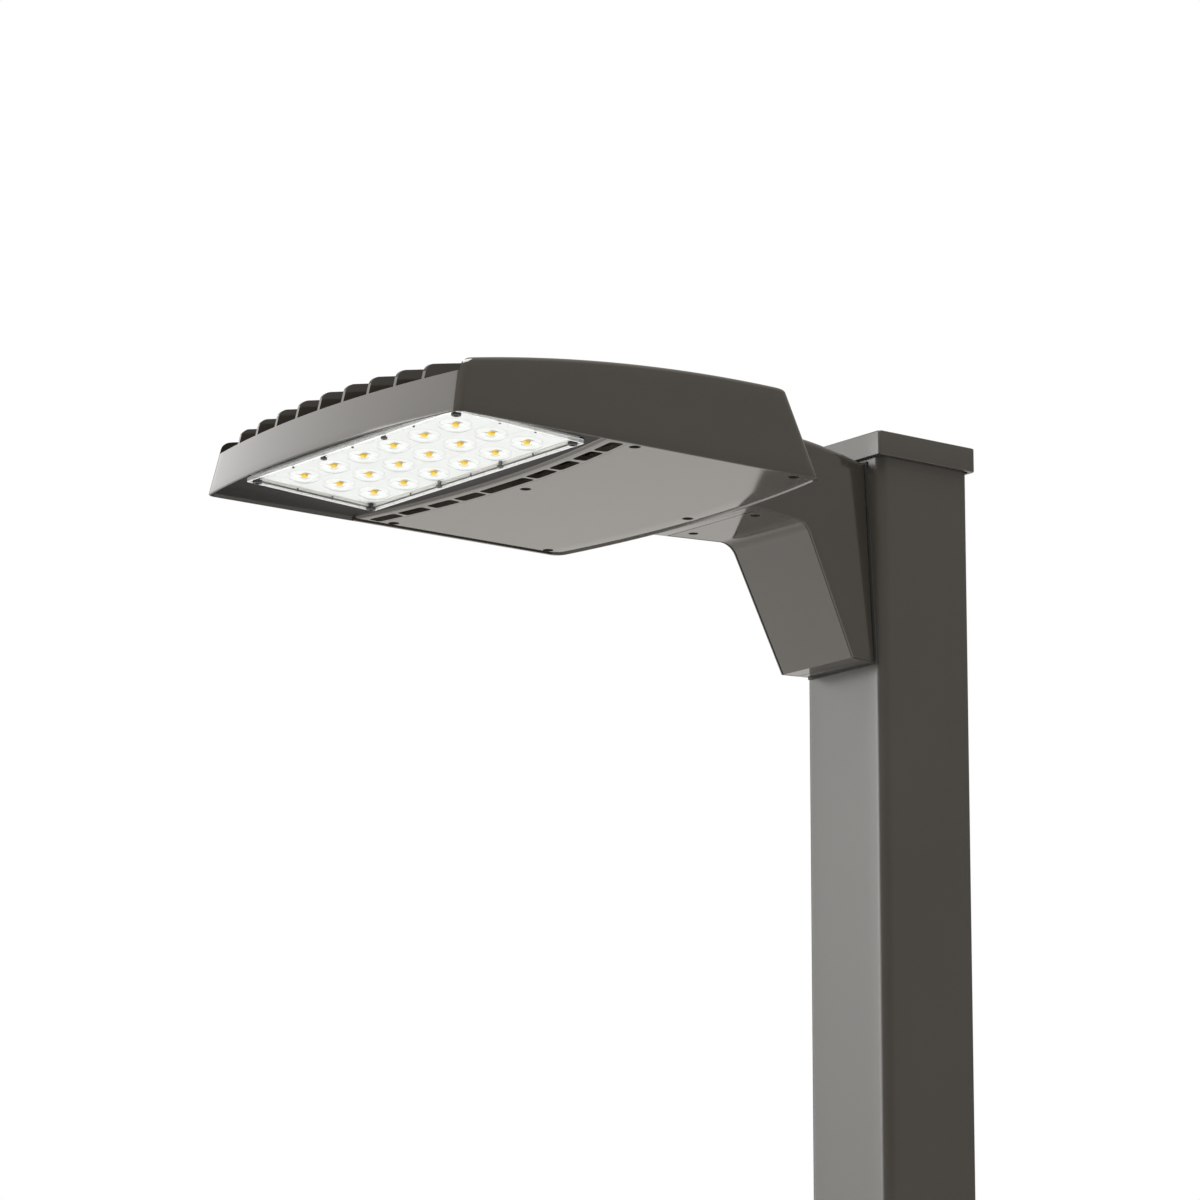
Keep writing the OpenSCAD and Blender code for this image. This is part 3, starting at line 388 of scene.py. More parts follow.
def setFloor(s):
    half = s["floorSize"] / 2
    mesh = bpy.data.meshes.new("floor")
    corners = [(-half, -half, s["floorZ"]), (half, -half, s["floorZ"]),
               (half, half, s["floorZ"]), (-half, half, s["floorZ"])]
    mesh.from_pydata(corners, [], [(0, 1, 2, 3)])
    floor = bpy.data.objects.new("floor", mesh)
    bpy.context.collection.objects.link(floor)
    material, tree, place = startMaterial("floorWhite")
    mottle = noiseAt(tree, place, 3, 2)
    level = s["floorWhite"]
    colour = mixColour(tree, mottle, [level - s["floorMottle"]] * 3, [level] * 3)
    cloth = addNode(tree, "ShaderNodeBsdfPrincipled", values={"Base Color": colour, "Roughness": 0.9})
    spot = vectorMath(tree, "DISTANCE", place, s["glowSpot"])
    share = ((s["glowFar"] - spot) / (s["glowFar"] - s["glowNear"])).held()
    bright = tuple(v * s["glowMore"] for v in s["tint"])
    path = addNode(tree, "ShaderNodeLightPath")
    seen = outputOf(path, "Is Camera Ray")
    colour = mixColour(tree, seen, mixColour(tree, share, s["tint"], bright), (1, 1, 1))
    glow = addNode(tree, "ShaderNodeEmission", values={"Color": colour, "Strength": s["glow"]})
    away = vectorMath(tree, "LENGTH", place)
    far = ((away - s["fadeNear"]) / (s["fadeFar"] - s["fadeNear"])).held()
    mirrored = outputOf(path, "Is Glossy Ray").math("MAXIMUM", outputOf(path, "Is Transmission Ray"))
    factor = mirrored.math("MAXIMUM", far * seen)
    surface = addNode(tree, "ShaderNodeMixShader", values={0: factor, 1: cloth, 2: glow})
    mesh.materials.append(finishMaterial(material, surface))


setWorld(studio)
for lampSetting in studio["lamps"]:
    setLamp(lampSetting, studio["aim"])
setFloor(studio)
print("floor and light set")


# Quads between the rows of a grid of points; a row is a closed loop
def loopFaces(rows, columns):
    r, c = np.meshgrid(np.arange(rows - 1), np.arange(columns), indexing="ij")
    n = (c + 1) % columns
    quads = [r * columns + c, r * columns + n, (r + 1) * columns + n, (r + 1) * columns + c]
    return np.stack(quads, -1).reshape(-1, 4)


# A closed solid from rings: each ring is a loop of points, and each end is closed at a middle point
def ringSolid(rings, start=None, end=None):
    rows, columns = rings.shape[:2]
    start = rings[0].mean(0) if start is None else np.asarray(start, float)
    end = rings[-1].mean(0) if end is None else np.asarray(end, float)
    points = np.vstack([rings.reshape(-1, 3), start, end])
    c = np.arange(columns)
    n = (c + 1) % columns
    last = (rows - 1) * columns
    caps = [np.stack([n, c, np.full(columns, rows * columns)], -1),
            np.stack([last + c, last + n, np.full(columns, rows * columns + 1)], -1)]
    return outward(points, [loopFaces(rows, columns), *caps])


# A closed ring: rows of loops whose last row is joined to the first, such as a frame round an opening
def frameSolid(rings):
    rows, columns = rings.shape[:2]
    faces = loopFaces(rows + 1, columns) % (rows * columns)
    return outward(rings.reshape(-1, 3), [faces])


# Turns the faces of a closed solid outwards: the sum of its triangles' triple products is six times its
# volume, and is below nothing where they face inwards
def outward(points, faces):
    triangles = np.vstack([f[:, [0, i, i + 1]] for f in faces for i in range(1, f.shape[1] - 1)])
    a, b, c = (points[triangles[:, i]] - points[0] for i in range(3))
    if (a * np.cross(b, c)).sum() < 0:
        faces = [f[:, ::-1] for f in faces]
    return points, faces


# Several solids as one set of points and faces
def together(*solids):
    points, faces, count = [], [], 0
    for solidPoints, solidFaces in solids:
        points.append(solidPoints)
        faces += [f + count for f in solidFaces]
        count += len(solidPoints)
    return np.vstack(points), faces


# A mesh from a solid, lifted to the pole's foot and in metres
def makeMesh(name, solid):
    points, faces = solid
    mesh = bpy.data.meshes.new(name)
    lifted = (points + (0, 0, lift)) * mm
    mesh.from_pydata(lifted.tolist(), [], [f for group in faces for f in group.tolist()])
    return mesh


# A piece from a solid, with other solids cut from it or joined to it in turn
def addPiece(name, solid, body, slotName, nodes, cuts=(), sharp=32):
    piece = bpy.data.objects.new(name, makeMesh(name, solid))
    bpy.context.collection.objects.link(piece)
    tools = []
    for i, (operation, tool) in enumerate(cuts):
        other = bpy.data.objects.new("tool", makeMesh("tool", tool))
        bpy.context.collection.objects.link(other)
        tools.append(other)
        step = piece.modifiers.new("step" + str(i), "BOOLEAN")
        step.operation = operation
        step.solver = "EXACT"
        step.object = other
    if tools:
        graph = bpy.context.evaluated_depsgraph_get()
        result = bpy.data.meshes.new_from_object(piece.evaluated_get(graph))
        piece.modifiers.clear()
        piece.data = result
        for other in tools:
            bpy.data.objects.remove(other)
    mesh = piece.data
    mesh.validate()
    mesh.name = name
    mesh.materials.clear()
    mesh.materials.append(materials[slotName])
    mesh.polygons.foreach_set("material_index", np.zeros(len(mesh.polygons), np.int32))
    mesh.polygons.foreach_set("use_smooth", np.ones(len(mesh.polygons), bool))
    mesh.set_sharp_from_angle(angle=radians(sharp))
    mesh.update()
    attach(piece, body)
    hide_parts(*nodes)
    print(name, len(mesh.polygons), "faces")


# A rounded corner as rows from a to b: a conic that leaves towards c, and an arc where c is a square corner
def cornerRows(a, c, b, steps):
    t = np.linspace(0, 1, steps + 1).reshape((-1,) + (1,) * a.ndim)
    near, mid, far = (1 - t) ** 2, 2 * t * (1 - t) * 0.7071, t ** 2
    return (near * a + mid * c + far * b) / (near + mid + far)


# Rows on the straight way from a to b, without either
def straightRows(a, b, steps):
    t = np.linspace(0, 1, steps + 1)[1:-1]
    t = t.reshape((-1,) + (1,) * a.ndim)
    return a * (1 - t) + b * t


# The head: drafted sides, a top turned about a far axis, and the places of what is cut from it
head = {
    "half": 175, "sideLean": 0.114, "sideH": 72, "crownY": -279.8, "crownR": 1552, "rise": 7.5,
    "riseHalf": 164, "wall": 3.5, "rimT": 1.1, "rimZ": -1.1, "roof": 4, "finCount": 9, "finPitch": 32,
    "finT": 3, "shelf": 30, "shelfH": 33.5, "channelH": 17, "lipY": -423.3, "ductFront": -418.3,
    "ductBack": -398.3, "bayFront": -393.8, "ledge": 5.5, "bayIn": 8, "noseRimR": 0.9, "sideRimR": 1.2,
    "tailRimR": 3.6, "tailRimH": 1.3, "noseTopR": 6, "sideTopR": 4, "tailTopR": 2,
}
# Its bowed ends, which lean back. inside is the sign of y towards the head's middle
noseEnd = {"y": -601.8, "bow": 18, "lean": 0.24, "r": 8, "inside": 1}
tailEnd = {"y": -205.3, "bow": 17, "lean": 0.4, "r": 12, "inside": -1}


# How deep a bowed line is at x: its depth at the side, by the square of x's share of the half width
def bow(x, depth):
    return depth * (x / head["half"]) ** 2


# How far that line is turned at x: the arctangent of its slope
def bowAngle(x, depth):
    return np.arctan(2 * depth * x / head["half"] ** 2)


# A line across the head that is bowed like the tail
def lineAt(x, y):
    return y - bow(x, tailEnd["bow"])


# x of a side: half the width at the foot, less the draft times the height and an inset
def sideAt(z, inset):
    return head["half"] - head["sideLean"] * z - inset


# y of an end without its round corners: its foot, with its bow, its lean times the height and an inset
def wallAt(e, x, z, inset):
    return e["y"] + e["inside"] * bow(x, e["bow"]) + e["inside"] * e["lean"] * z + e["inside"] * inset


# The round corner between a side and an end: its radius, the angle and the x at which it meets the end,
# and its centre
def cornerOf(e, z, side, inset):
    r = max(e["r"] - max(side, 0), 1)
    cx = sideAt(z, side) - r
    a = bowAngle(cx, e["bow"])
    x = cx + r * np.sin(a)
    return r, a, x, cx, wallAt(e, x, z, inset) + e["inside"] * r * np.cos(a)


# y of an end with its round corners: past the meeting, Pythagoras from the corner's centre
def endAt(e, x, z, side, inset=None):
    inset = side if inset is None else inset
    r, a, meet, cx, cy = cornerOf(e, z, side, inset)
    over = np.clip(np.abs(x) - cx, 0, r)
    rounded = cy - e["inside"] * np.sqrt(np.maximum(r * r - over * over, 0))
    return np.where(np.abs(x) < meet, wallAt(e, x, z, inset), rounded)


# Height of the top: a circle about an axis across the head, grown by the rise at its middle
def topAt(x, y, drop=0):
    r = head["crownR"] + head["rise"] * (1 - (x / head["riseHalf"]) ** 2)
    return head["sideH"] - head["crownR"] - drop + np.sqrt(r ** 2 - (y - head["crownY"]) ** 2)


# The head's outline at a height, moved in by an inset: nose, round corner, side, round corner and tail, by
# shares of each, and the same again mirrored
outlineCounts = {"nose": 22, "corner": 9, "side": 44, "tail": 22}


def outline(z, inset=0):
    z = np.asarray(z, float)[..., None]
    noseShare, turn, sideShare, tailShare = (np.arange(n) / n for n in outlineCounts.values())
    nr, na, nx, ncx, ncy = cornerOf(noseEnd, z, inset, inset)
    tr, ta, tx, tcx, tcy = cornerOf(tailEnd, z, inset, inset)
    noseX, tailX = nx * noseShare, tx * (1 - tailShare)
    a, b = (na - pi / 2) * (1 - turn), (pi / 2 - ta) * turn
    x = np.concatenate([noseX, ncx + nr * np.cos(a), sideAt(z, inset) + 0 * sideShare, tcx + tr * np.cos(b),
                        tailX], -1)
    y = np.concatenate([wallAt(noseEnd, noseX, z, inset), ncy + nr * np.sin(a), ncy + (tcy - ncy) * sideShare,
                        tcy + tr * np.sin(b), wallAt(tailEnd, tailX, z, inset)], -1)
    x = np.concatenate([x, 0 * z, -x[..., :0:-1]], -1)
    y = np.concatenate([y, wallAt(tailEnd, 0 * z, z, inset), y[..., :0:-1]], -1)
    return np.stack([x, y, z + 0 * x], -1)


# One value for each point of the outline, from its values on nose, side and tail, eased round the corners
def alongOutline(nose, side, tail):
    n = outlineCounts
    turn = np.arange(n["corner"]) / n["corner"]
    ease = turn * turn * (3 - 2 * turn)
    values = np.concatenate([np.full(n["nose"], nose), nose + (side - nose) * ease, np.full(n["side"], side),
                             side + (tail - side) * ease, np.full(n["tail"], tail)])
    return np.concatenate([values, [tail], values[:0:-1]])


# The head before anything is cut from it, as rings: the level floor from its middle outwards, the rim's round
# edge, the leaning wall up to where it meets the crown, a round edge, and the crown in to its middle
def headSolid(h):
    low, probe, tall = h["rimZ"], 5, 60
    rim = outline(low)
    rimR = alongOutline(h["noseRimR"], h["sideRimR"], h["tailRimR"])[:, None]
    rimH = alongOutline(h["noseRimR"], h["sideRimR"], h["tailRimH"])[:, None]
    rimIn = rim + (outline(low, probe) - rim) * rimR / probe
    rimUp = rim + (outline(low + probe) - rim) * rimH / probe
    topR = alongOutline(h["noseTopR"], h["sideTopR"], h["tailTopR"])[:, None]
    foot, high, edge = outline(0), outline(tall), outline(50)
    for i in range(20):  # each turn brings the edge nearer to the crown
        height = topAt(edge[:, 0], edge[:, 1])[:, None]
        edge = foot + (high - foot) * height / tall
    wallTop = edge + (foot - high) / np.linalg.norm(high - foot, axis=1)[:, None] * topR
    middle = np.array([0, (noseEnd["y"] + tailEnd["y"]) / 2, low])
    inward = middle - edge
    inward[:, 2] = 0
    reach = np.linalg.norm(inward, axis=1)[:, None]
    roofStart = edge + inward / reach * topR * 1.15
    roofStart[:, 2] = topAt(roofStart[:, 0], roofStart[:, 1])
    t = (1 - np.linspace(1, 0.04, 26))[1:, None, None]
    roof = roofStart + (middle - roofStart) * t
    roof[..., 2] = topAt(roof[..., 0], roof[..., 1])
    floorRows = rimIn + (middle - rimIn) * np.array([0.9, 0.5])[:, None, None]
    rings = np.concatenate([floorRows, cornerRows(rimIn, rim, rimUp, 5), straightRows(rimUp, wallTop, 6),
                            cornerRows(wallTop, edge, roofStart, 7), roof])
    return ringSolid(rings, middle, (0, middle[1], topAt(0, middle[1])))


# Places across the head as shares of half its width: partly even, partly a sine that crowds at the corners
def acrossShares(count):
    s = np.linspace(-1, 1, count)
    return np.sin(s * pi / 2) * 0.6 + s * 0.4


# A solid across the head: at each share of its width a closed loop of points, each with its height, its inset
# from the side, and a y that placeOf gives from x and z
def acrossSolid(shares, heights, insets, placeOf):
    z = np.asarray(heights, float)[None, :]
    x = np.asarray(shares)[:, None] * sideAt(z, np.asarray(insets, float)[None, :])
    return ringSolid(np.stack([x, placeOf(x, z + 0 * x), z + 0 * x], -1))


# From places in the lamp's plane, and depths behind it, to the head: a turn by the tilt
def fromLamp(points):
    c, s = cos(radians(lamp["tilt"])), sin(radians(lamp["tilt"]))
    x, y, z = points[..., 0], points[..., 1], points[..., 2]
    return np.stack([x, lamp["y"] + y * c - z * s, lamp["z"] + y * s + z * c], -1)


# Height of a plane beside the lamp's, at a distance above it
def lampHeight(y, up):
    t = radians(lamp["tilt"])
    return lamp["z"] + (y - lamp["y"]) * np.tan(t) + up / cos(t)


# Recess of the lamp, a loop of four points at each share: its walls follow the nose and the sides and lean in
# from a thin rim, and its back is the door's lip line
def lampRecess(h):
    shares = acrossShares(61)
    rows = []
    for atFoot, atNose in [(True, True), (True, False), (False, False), (False, True)]:
        inset = h["rimT"] if atFoot else h["wall"]
        z = np.full(61, -3.0 if atFoot else 6.0)
        for i in range(4):
            x = shares * sideAt(z, inset)
            y = endAt(noseEnd, x, z, inset) if atNose else lineAt(x, h["lipY"])
            z = z if atFoot else lampHeight(y, lamp["floor"])
        rows.append(np.stack([x, y, z], -1))
    return ringSolid(np.stack(rows, 1))


# Recess of the door: from just before its lip line to inside the tail wall
def doorRecess(h):
    wall = h["wall"]

    def place(x, z):
        front = lineAt(x[:, :2], h["lipY"] - 0.5)
        return np.concatenate([front, endAt(tailEnd, x[:, 2:], z[:, 2:], wall)], 1)
    return acrossSolid(acrossShares(61), [-3, h["ledge"], h["ledge"], -3], [wall] * 4, place)


# Duct from the door's slots up to the channels, between two bowed lines
def airDuct(h):
    high = h["channelH"] + 1

    def place(x, z):
        return np.concatenate([lineAt(x[:, :2], h["ductFront"]), lineAt(x[:, 2:], h["ductBack"])], 1)
    return acrossSolid(np.linspace(-1, 1, 49), [4, high, high, 4], [h["wall"]] * 4, place)


# The driver's bay: front wall, leaning tail wall, and a roof that follows the crown. The turns of the first
# loop bring the top of the tail wall nearer to the roof
def driverBay(h):
    inset = h["bayIn"]
    shares = acrossShares(61)[:, None]
    x0 = shares * (h["half"] - inset)
    top = np.full((61, 1), 50.0)
    for i in range(12):
        x = shares * sideAt(top, inset)
        back = endAt(tailEnd, x, top, inset)
        top = topAt(x, back, h["roof"])
    front, low = lineAt(x0, h["bayFront"]), endAt(tailEnd, x0, 0 * x0, inset)
    roofY = back + (front - back) * np.linspace(0, 1, 9)
    roof = np.stack([x + 0 * roofY, roofY, topAt(x, roofY, h["roof"])], -1)
    floor = np.stack([np.hstack([x0, x0]), np.hstack([front, low]), np.full((61, 2), 2.0)], -1)
    return ringSolid(np.concatenate([floor, roof], 1))


# Channels between the fins, each a loop of eight points carried across from fin to fin, closer together at
# both: out over the nose wall, down it, back along the level shelf, down the slope to the duct, back, and up
def finChannels(h):
    half = (h["finCount"] - 1) // 2
    share = np.linspace(0, 1, 13)
    share = (share * share * (3 - 2 * share))[:, None]
    over = 100.0
    z = np.array([over, h["shelfH"], h["shelfH"], h["shelfH"], h["channelH"], h["channelH"], over, over])
    inner = sideAt(z, h["wall"])
    solids = []
    for k in range(-half - 1, half + 1):
        left = np.full(8, k * h["finPitch"] + h["finT"] / 2) if k >= -half else -inner
        right = np.full(8, (k + 1) * h["finPitch"] - h["finT"] / 2) if k < half else inner
        x = left + (right - left) * share
        zz = z + 0 * x
        y = np.empty_like(x)
        y[:, :2] = endAt(noseEnd, x[:, :2], zz[:, :2], h["wall"], -1)
        y[:, 2] = np.maximum(y[:, 1] + 0.5, noseEnd["y"] + h["shelf"] - 4)
        y[:, 3] = np.maximum(y[:, 2] + 0.5, noseEnd["y"] + h["shelf"])
        y[:, 4] = h["ductFront"] - tailEnd["bow"]
        y[:, 5:7] = lineAt(x[:, 5:7], h["ductBack"])
        y[:, 7] = noseEnd["y"] + 4 * h["shelf"]
        solids.append(ringSolid(np.stack([x, y, zz], -1)))
    return together(*solids)


# Turned solids: a closed profile of radius and height carried round an upright axis at each place
def turned(profile, steps, places):
    profile = np.asarray(profile, float)
    a = np.arange(steps) / steps * 2 * pi
    x = profile[:, :1] * np.cos(a)
    y = profile[:, :1] * np.sin(a)
    rings = np.stack([x, y, profile[:, 1:] + 0 * x], -1)
    solids = []
    for place in places:
        here = rings + np.array([*place, 0.0])
        if profile[0, 0] < 1e-6 and profile[-1, 0] < 1e-6:
            solids.append(ringSolid(here[1:-1], here[0, 0], here[-1, 0]))
        else:
            solids.append(frameSolid(here))
    return together(*solids)


# The door's screws. face is the plate's outer face, headAt how far behind it each head starts, and the bosses
# are upright tubes with a broken edge
doorScrew = {
    "places": [(163.6, -404.55), (-163.6, -404.55), (0, -389.04),
               (164, -242.06), (-164, -242.06), (0, -220.08)],
    "r": 4.3, "h": 1.35, "edge": 0.5, "socketR": 1.9, "deep": 1.0, "shankR": 2.4, "long": 17,
    "face": 0, "headAt": 1.65, "boreR": 4.75, "sink": 3, "holeR": 2.75,
    "bossR": 7.5, "bossH": 24, "bossEdge": 0.6,
}


def screwBosses(h, s):
    r, e, low, high = s["bossR"], s["bossEdge"], h["ledge"], h["ledge"] + s["bossH"]
    profile = [(s["holeR"], low), (s["holeR"], high), (r - e, high), (r, high - e), (r, low)]
    return turned(profile, 40, s["places"])


addPiece("headCasting", headSolid(head), "fixture", "bronze_paint", ["housing"], [
    ("DIFFERENCE", finChannels(head)), ("DIFFERENCE", lampRecess(head)), ("DIFFERENCE", doorRecess(head)),
    ("DIFFERENCE", airDuct(head)), ("DIFFERENCE", driverBay(head)), ("UNION", screwBosses(head, doorScrew))])


# A level loop of a rectangle with round corners
def roundedLoop(halfX, halfY, r, perCorner=7, perSide=4):
    a = np.linspace(0, pi / 2, perCorner)
    t = np.linspace(0, 1, perSide + 2)[1:-1]
    parts = []
    for i, (sx, sy) in enumerate([(1, -1), (1, 1), (-1, 1), (-1, -1)]):
        b = a + (i - 1) * pi / 2
        parts.append(np.stack([sx * (halfX - r) + r * np.cos(b), sy * (halfY - r) + r * np.sin(b)], -1))
    loop = []
    for i in range(4):
        here, after = parts[i], parts[(i + 1) % 4]
        loop += [here, here[-1] + (after[0] - here[-1]) * t[:, None]]
    return np.vstack(loop)


# A flat loop as points at one height
def atHeight(loop, z):
    return np.column_stack([loop, np.full(len(loop), float(z))])


# Driver door: a loop round the plate at each share across it. Quarter circles make its front lip and its back
# edge, and its flat face goes evenly from one to the other
door = {
    "t": 4, "gap": 0.5, "lipR": 3.2, "edgeR": 0.8, "slotY": -408.2, "slotW": 12.4, "slotR": 3,
    "slotPlaces": [0, 0.277, 0.471, 0.674, 0.863], "slotLengths": [0.342, 0.17, 0.17, 0.17, 0.17],
    "crease": -399.2, "creaseW": 0.4, "creaseDeep": 0.25, "creaseShort": 9,
}


def doorSolid(h, d):
    a = np.linspace(0, pi / 2, 7)
    up, into = 1 - np.sin(a), 1 - np.cos(a)
    middle = np.linspace(0, 1, 12)[1:-1]
    mix = np.concatenate([np.zeros(8), middle, np.ones(8)])
    z = np.concatenate([[d["t"]], d["lipR"] * up, 0 * middle, (d["edgeR"] * up)[::-1], [d["t"]]])
    moved = np.concatenate([[0], d["lipR"] * into, d["lipR"] + (d["edgeR"] - d["lipR"]) * middle,
                            (d["edgeR"] * into)[::-1], [0]])
    inset = h["wall"] + d["gap"] + moved

    def place(x, zz):
        front = lineAt(x, h["lipY"] + moved[None, :])
        back = np.stack([endAt(tailEnd, x[:, i], zz[:, i], inset[i]) for i in range(len(z))], 1)
        return front + (back - front) * mix[None, :]
    return acrossSolid(acrossShares(81), z, inset, place)


# Air slots: upright round-cornered bars, each turned along the bow where it lies
def doorSlots(h, d):
    solids = []
    for share, length in zip(d["slotPlaces"], d["slotLengths"]):
        for side in ([-1, 1] if share else [1]):
            x = side * share * h["half"]
            turn = -bowAngle(x, tailEnd["bow"])
            loop = roundedLoop(length * h["half"] / 2, d["slotW"] / 2, d["slotR"])
            c, s = np.cos(turn), np.sin(turn)
            loop = loop @ np.array([[c, s], [-s, c]]) + (x, lineAt(x, d["slotY"]))
            solids.append(ringSolid(np.stack([atHeight(loop, -1), atHeight(loop, d["t"] + 1)])))
    return together(*solids)


# Stepped bores for screws: a wide one from before the face to where the head sits, then a narrow one
def screwBores(s, deep, steps):
    low, sunk, high = s["face"] - 1, s["face"] + s["sink"], s["face"] + deep
    wide, narrow = s["boreR"], s["holeR"]
    profile = [(0, low), (wide, low), (wide, sunk), (narrow, sunk), (narrow, high), (0, high)]
    return turned(profile, steps, s["places"])


# A fine groove behind the slots, bowed like them
def doorCrease(h, d):
    x = np.linspace(-1, 1, 61)[:, None] * (h["half"] - d["creaseShort"])
    y = lineAt(x, d["crease"]) + np.array([-d["creaseW"], 0, d["creaseW"]])
    z = np.array([-0.2, d["creaseDeep"], -0.2])
    return ringSolid(np.stack([x + 0 * y, y, z + 0 * y], -1))


addPiece("driverDoor", doorSolid(head, door), "door", "bronze_paint", ["driver_door"], [
    ("DIFFERENCE", doorSlots(head, door)), ("DIFFERENCE", screwBores(doorScrew, door["t"] + 1, 40)),
    ("DIFFERENCE", doorCrease(head, door))])


# Round screw heads that face down, each with a six-sided socket, on a shank: rings of a radius and a height
def screwHeads(s, face):
    a = np.arange(36) / 36 * 2 * pi
    six = cos(pi / 6) / np.cos(np.mod(a, pi / 3) - pi / 6)
    e, under = s["edge"], face + s["h"]
    rows = [(s["socketR"] * six, face + s["deep"]), (s["socketR"] * six, face), (s["r"] - e, face),
            (s["r"] - e * 0.3, face + e * 0.3), (s["r"], face + e), (s["r"], under), (s["shankR"], under),
            (s["shankR"], face + s["long"])]
    solids = []
    for x, y in s["places"]:
        rings = [np.stack([x + r * np.cos(a), y + r * np.sin(a), z + 0 * a], -1) for r, z in rows]
        solids.append(ringSolid(np.stack(rings)))
    return together(*solids)


# The screws of a plate, and black cups that line their bores as painted shade, a dark sheet where the bore
# would be in shadow: a turned ring with a thin wall
def addScrews(name, body, node, s):
    addPiece(name + "s", screwHeads(s, s["face"] + s["headAt"]), body, "screw_steel", [node])
    outer, inner, low, high = s["boreR"] - 0.03, s["boreR"] - 0.4, s["face"] + 0.2, s["face"] + s["sink"]
    profile = [(outer, low), (outer, high), (inner, high), (inner, low)]
    addPiece(name + "Cups", turned(profile, 36, s["places"]), body, "black_rubber", [node])


addScrews("doorScrew", "door", "door_screws", doorScrew)


# From nothing at low to one at high, easing in and out
def smooth(value, low, high):
    t = np.clip((value - low) / (high - low), 0, 1)
    return t * t * (3 - 2 * t)


# Bezel: the sheet round the optic, in the lamp's plane, whose outer part curves down in a cove
bezel = {
    "in": 3.9, "back": 0.9, "under": -0.4, "over": 2.1, "edgeR": 0.5, "holeX": 144.9, "holeY": 63.9,
    "holeR": 3, "rimIn": 2.3, "level": 1.3, "backLevel": 2.2, "cove": 12,
}


# The bezel's outer edge, at a distance from the lamp's plane, or level at one height. It follows the nose and
# the door's lip, with straight lines between their ends
def bezelOuter(h, b, up, inset, level=None):
    side = b["in"] + inset
    shares = acrossShares(81)
    z = np.full(81, 6.0 if level is None else level)
    for i in range(3):
        x = shares * sideAt(z, side)
        y = endAt(noseEnd, x, z, side)
        z = z if up is None else lampHeight(y, up)
    front = np.stack([x, y, z], -1)
    if level is not None:
        z = z - b["level"] + b["backLevel"]
    for i in range(3):
        x = shares * sideAt(z, side)
        y = lineAt(x, h["lipY"] - b["back"] - inset)
        z = z if up is None else lampHeight(y, up)
    back = np.stack([x, y, z], -1)
    t = np.linspace(0, 1, 14)[1:-1, None]
    left, right = back[0] + (front[0] - back[0]) * t, front[-1] + (back[-1] - front[-1]) * t
    return np.vstack([front, right, back[::-1], left])


# The hole's edge, met by the straight line from its middle to each point of the outer edge. Near a corner the
# meeting with its circle is the greater root of a quadratic
def bezelInner(b, outer, up, grow):
    c, s = cos(radians(lamp["tilt"])), sin(radians(lamp["tilt"]))
    dx = outer[:, 0]
    dy = (outer[:, 1] - lamp["y"]) * c + (outer[:, 2] - lamp["z"]) * s - lamp["shift"]
    halfX, halfY, r = b["holeX"] + grow, b["holeY"] + grow, b["holeR"] + grow
    t = np.minimum(halfX / np.maximum(np.abs(dx), 1e-6), halfY / np.maximum(np.abs(dy), 1e-6))
    cx, cy = np.sign(dx) * (halfX - r), np.sign(dy) * (halfY - r)
    atCorner = (np.abs(t * dx) > halfX - r) & (np.abs(t * dy) > halfY - r)
    dot, size = dx * cx + dy * cy, dx * dx + dy * dy
    under = np.maximum(dot * dot - size * (cx * cx + cy * cy - r * r), 0)
    t = np.where(atCorner, (dot + np.sqrt(under)) / size, t)
    return fromLamp(np.stack([t * dx, t * dy + lamp["shift"], np.full(len(dx), up)], -1))


# A frame of rings from the outer edge's top, round its foot, over the cove, a parabola in the distance from
# the edge, and round the hole's edge to its top
def bezelSolid(h, b):
    e = b["edgeR"]

    def foot(up, inset):
        return bezelOuter(h, b, None, b["rimIn"] - b["in"] + inset, b["level"] + up)

    def hole(up, grow):
        return bezelInner(b, outerIn, up, grow)
    outerTop = bezelOuter(h, b, b["over"], 0)
    outerUp, outerCorner, outerIn = foot(e, 0), foot(0, 0), foot(0, e)
    innerIn, innerCorner = hole(b["under"], e), hole(b["under"], 0)
    innerUp, innerTop = hole(b["under"] + e, 0), hole(b["over"], 0)
    t = np.array([0.07, 0.14, 0.21, 0.29, 0.37, 0.45, 0.55, 0.65, 0.8])[:, None, None]
    rows = outerIn + (innerIn - outerIn) * t
    reach = np.linalg.norm((innerIn - outerIn)[:, :2], axis=1)
    drop = lampHeight(outerIn[:, 1], b["under"]) - outerIn[:, 2]
    left = 1 - np.minimum(t[..., 0] * reach / b["cove"], 1)
    rows[..., 2] = lampHeight(rows[..., 1], b["under"]) - drop * left ** 2
    return frameSolid(np.concatenate([
        outerTop[None], cornerRows(outerUp, outerCorner, outerIn, 3), rows,
        cornerRows(innerIn, innerCorner, innerUp, 3), innerTop[None]]))


addPiece("lensBezel", bezelSolid(head, bezel), "fixture", "bezel_paint", ["lens_bezel"])


# Optic: a clear panel with a raised rim, a dome over each light source and a shallow ring round each dome
optic = {
    "cornerR": 2.6, "top": -1.2, "under": -3.4, "rim": 1, "rimW": 2.5, "domeR": 12.5, "domeH": 3.5,
    "ring": 0.5, "ringW": 1.2, "hollowR": 4.8, "hollowH": 3,
}


# Places of the light sources' columns and rows: a pitch apart, even about the middle
def lampGrid():
    columns = (np.arange(lamp["columns"]) - (lamp["columns"] - 1) / 2) * lamp["pitchX"]
    rows = (np.arange(lamp["rows"]) - (lamp["rows"] - 1) / 2) * lamp["pitchY"]
    return columns, rows


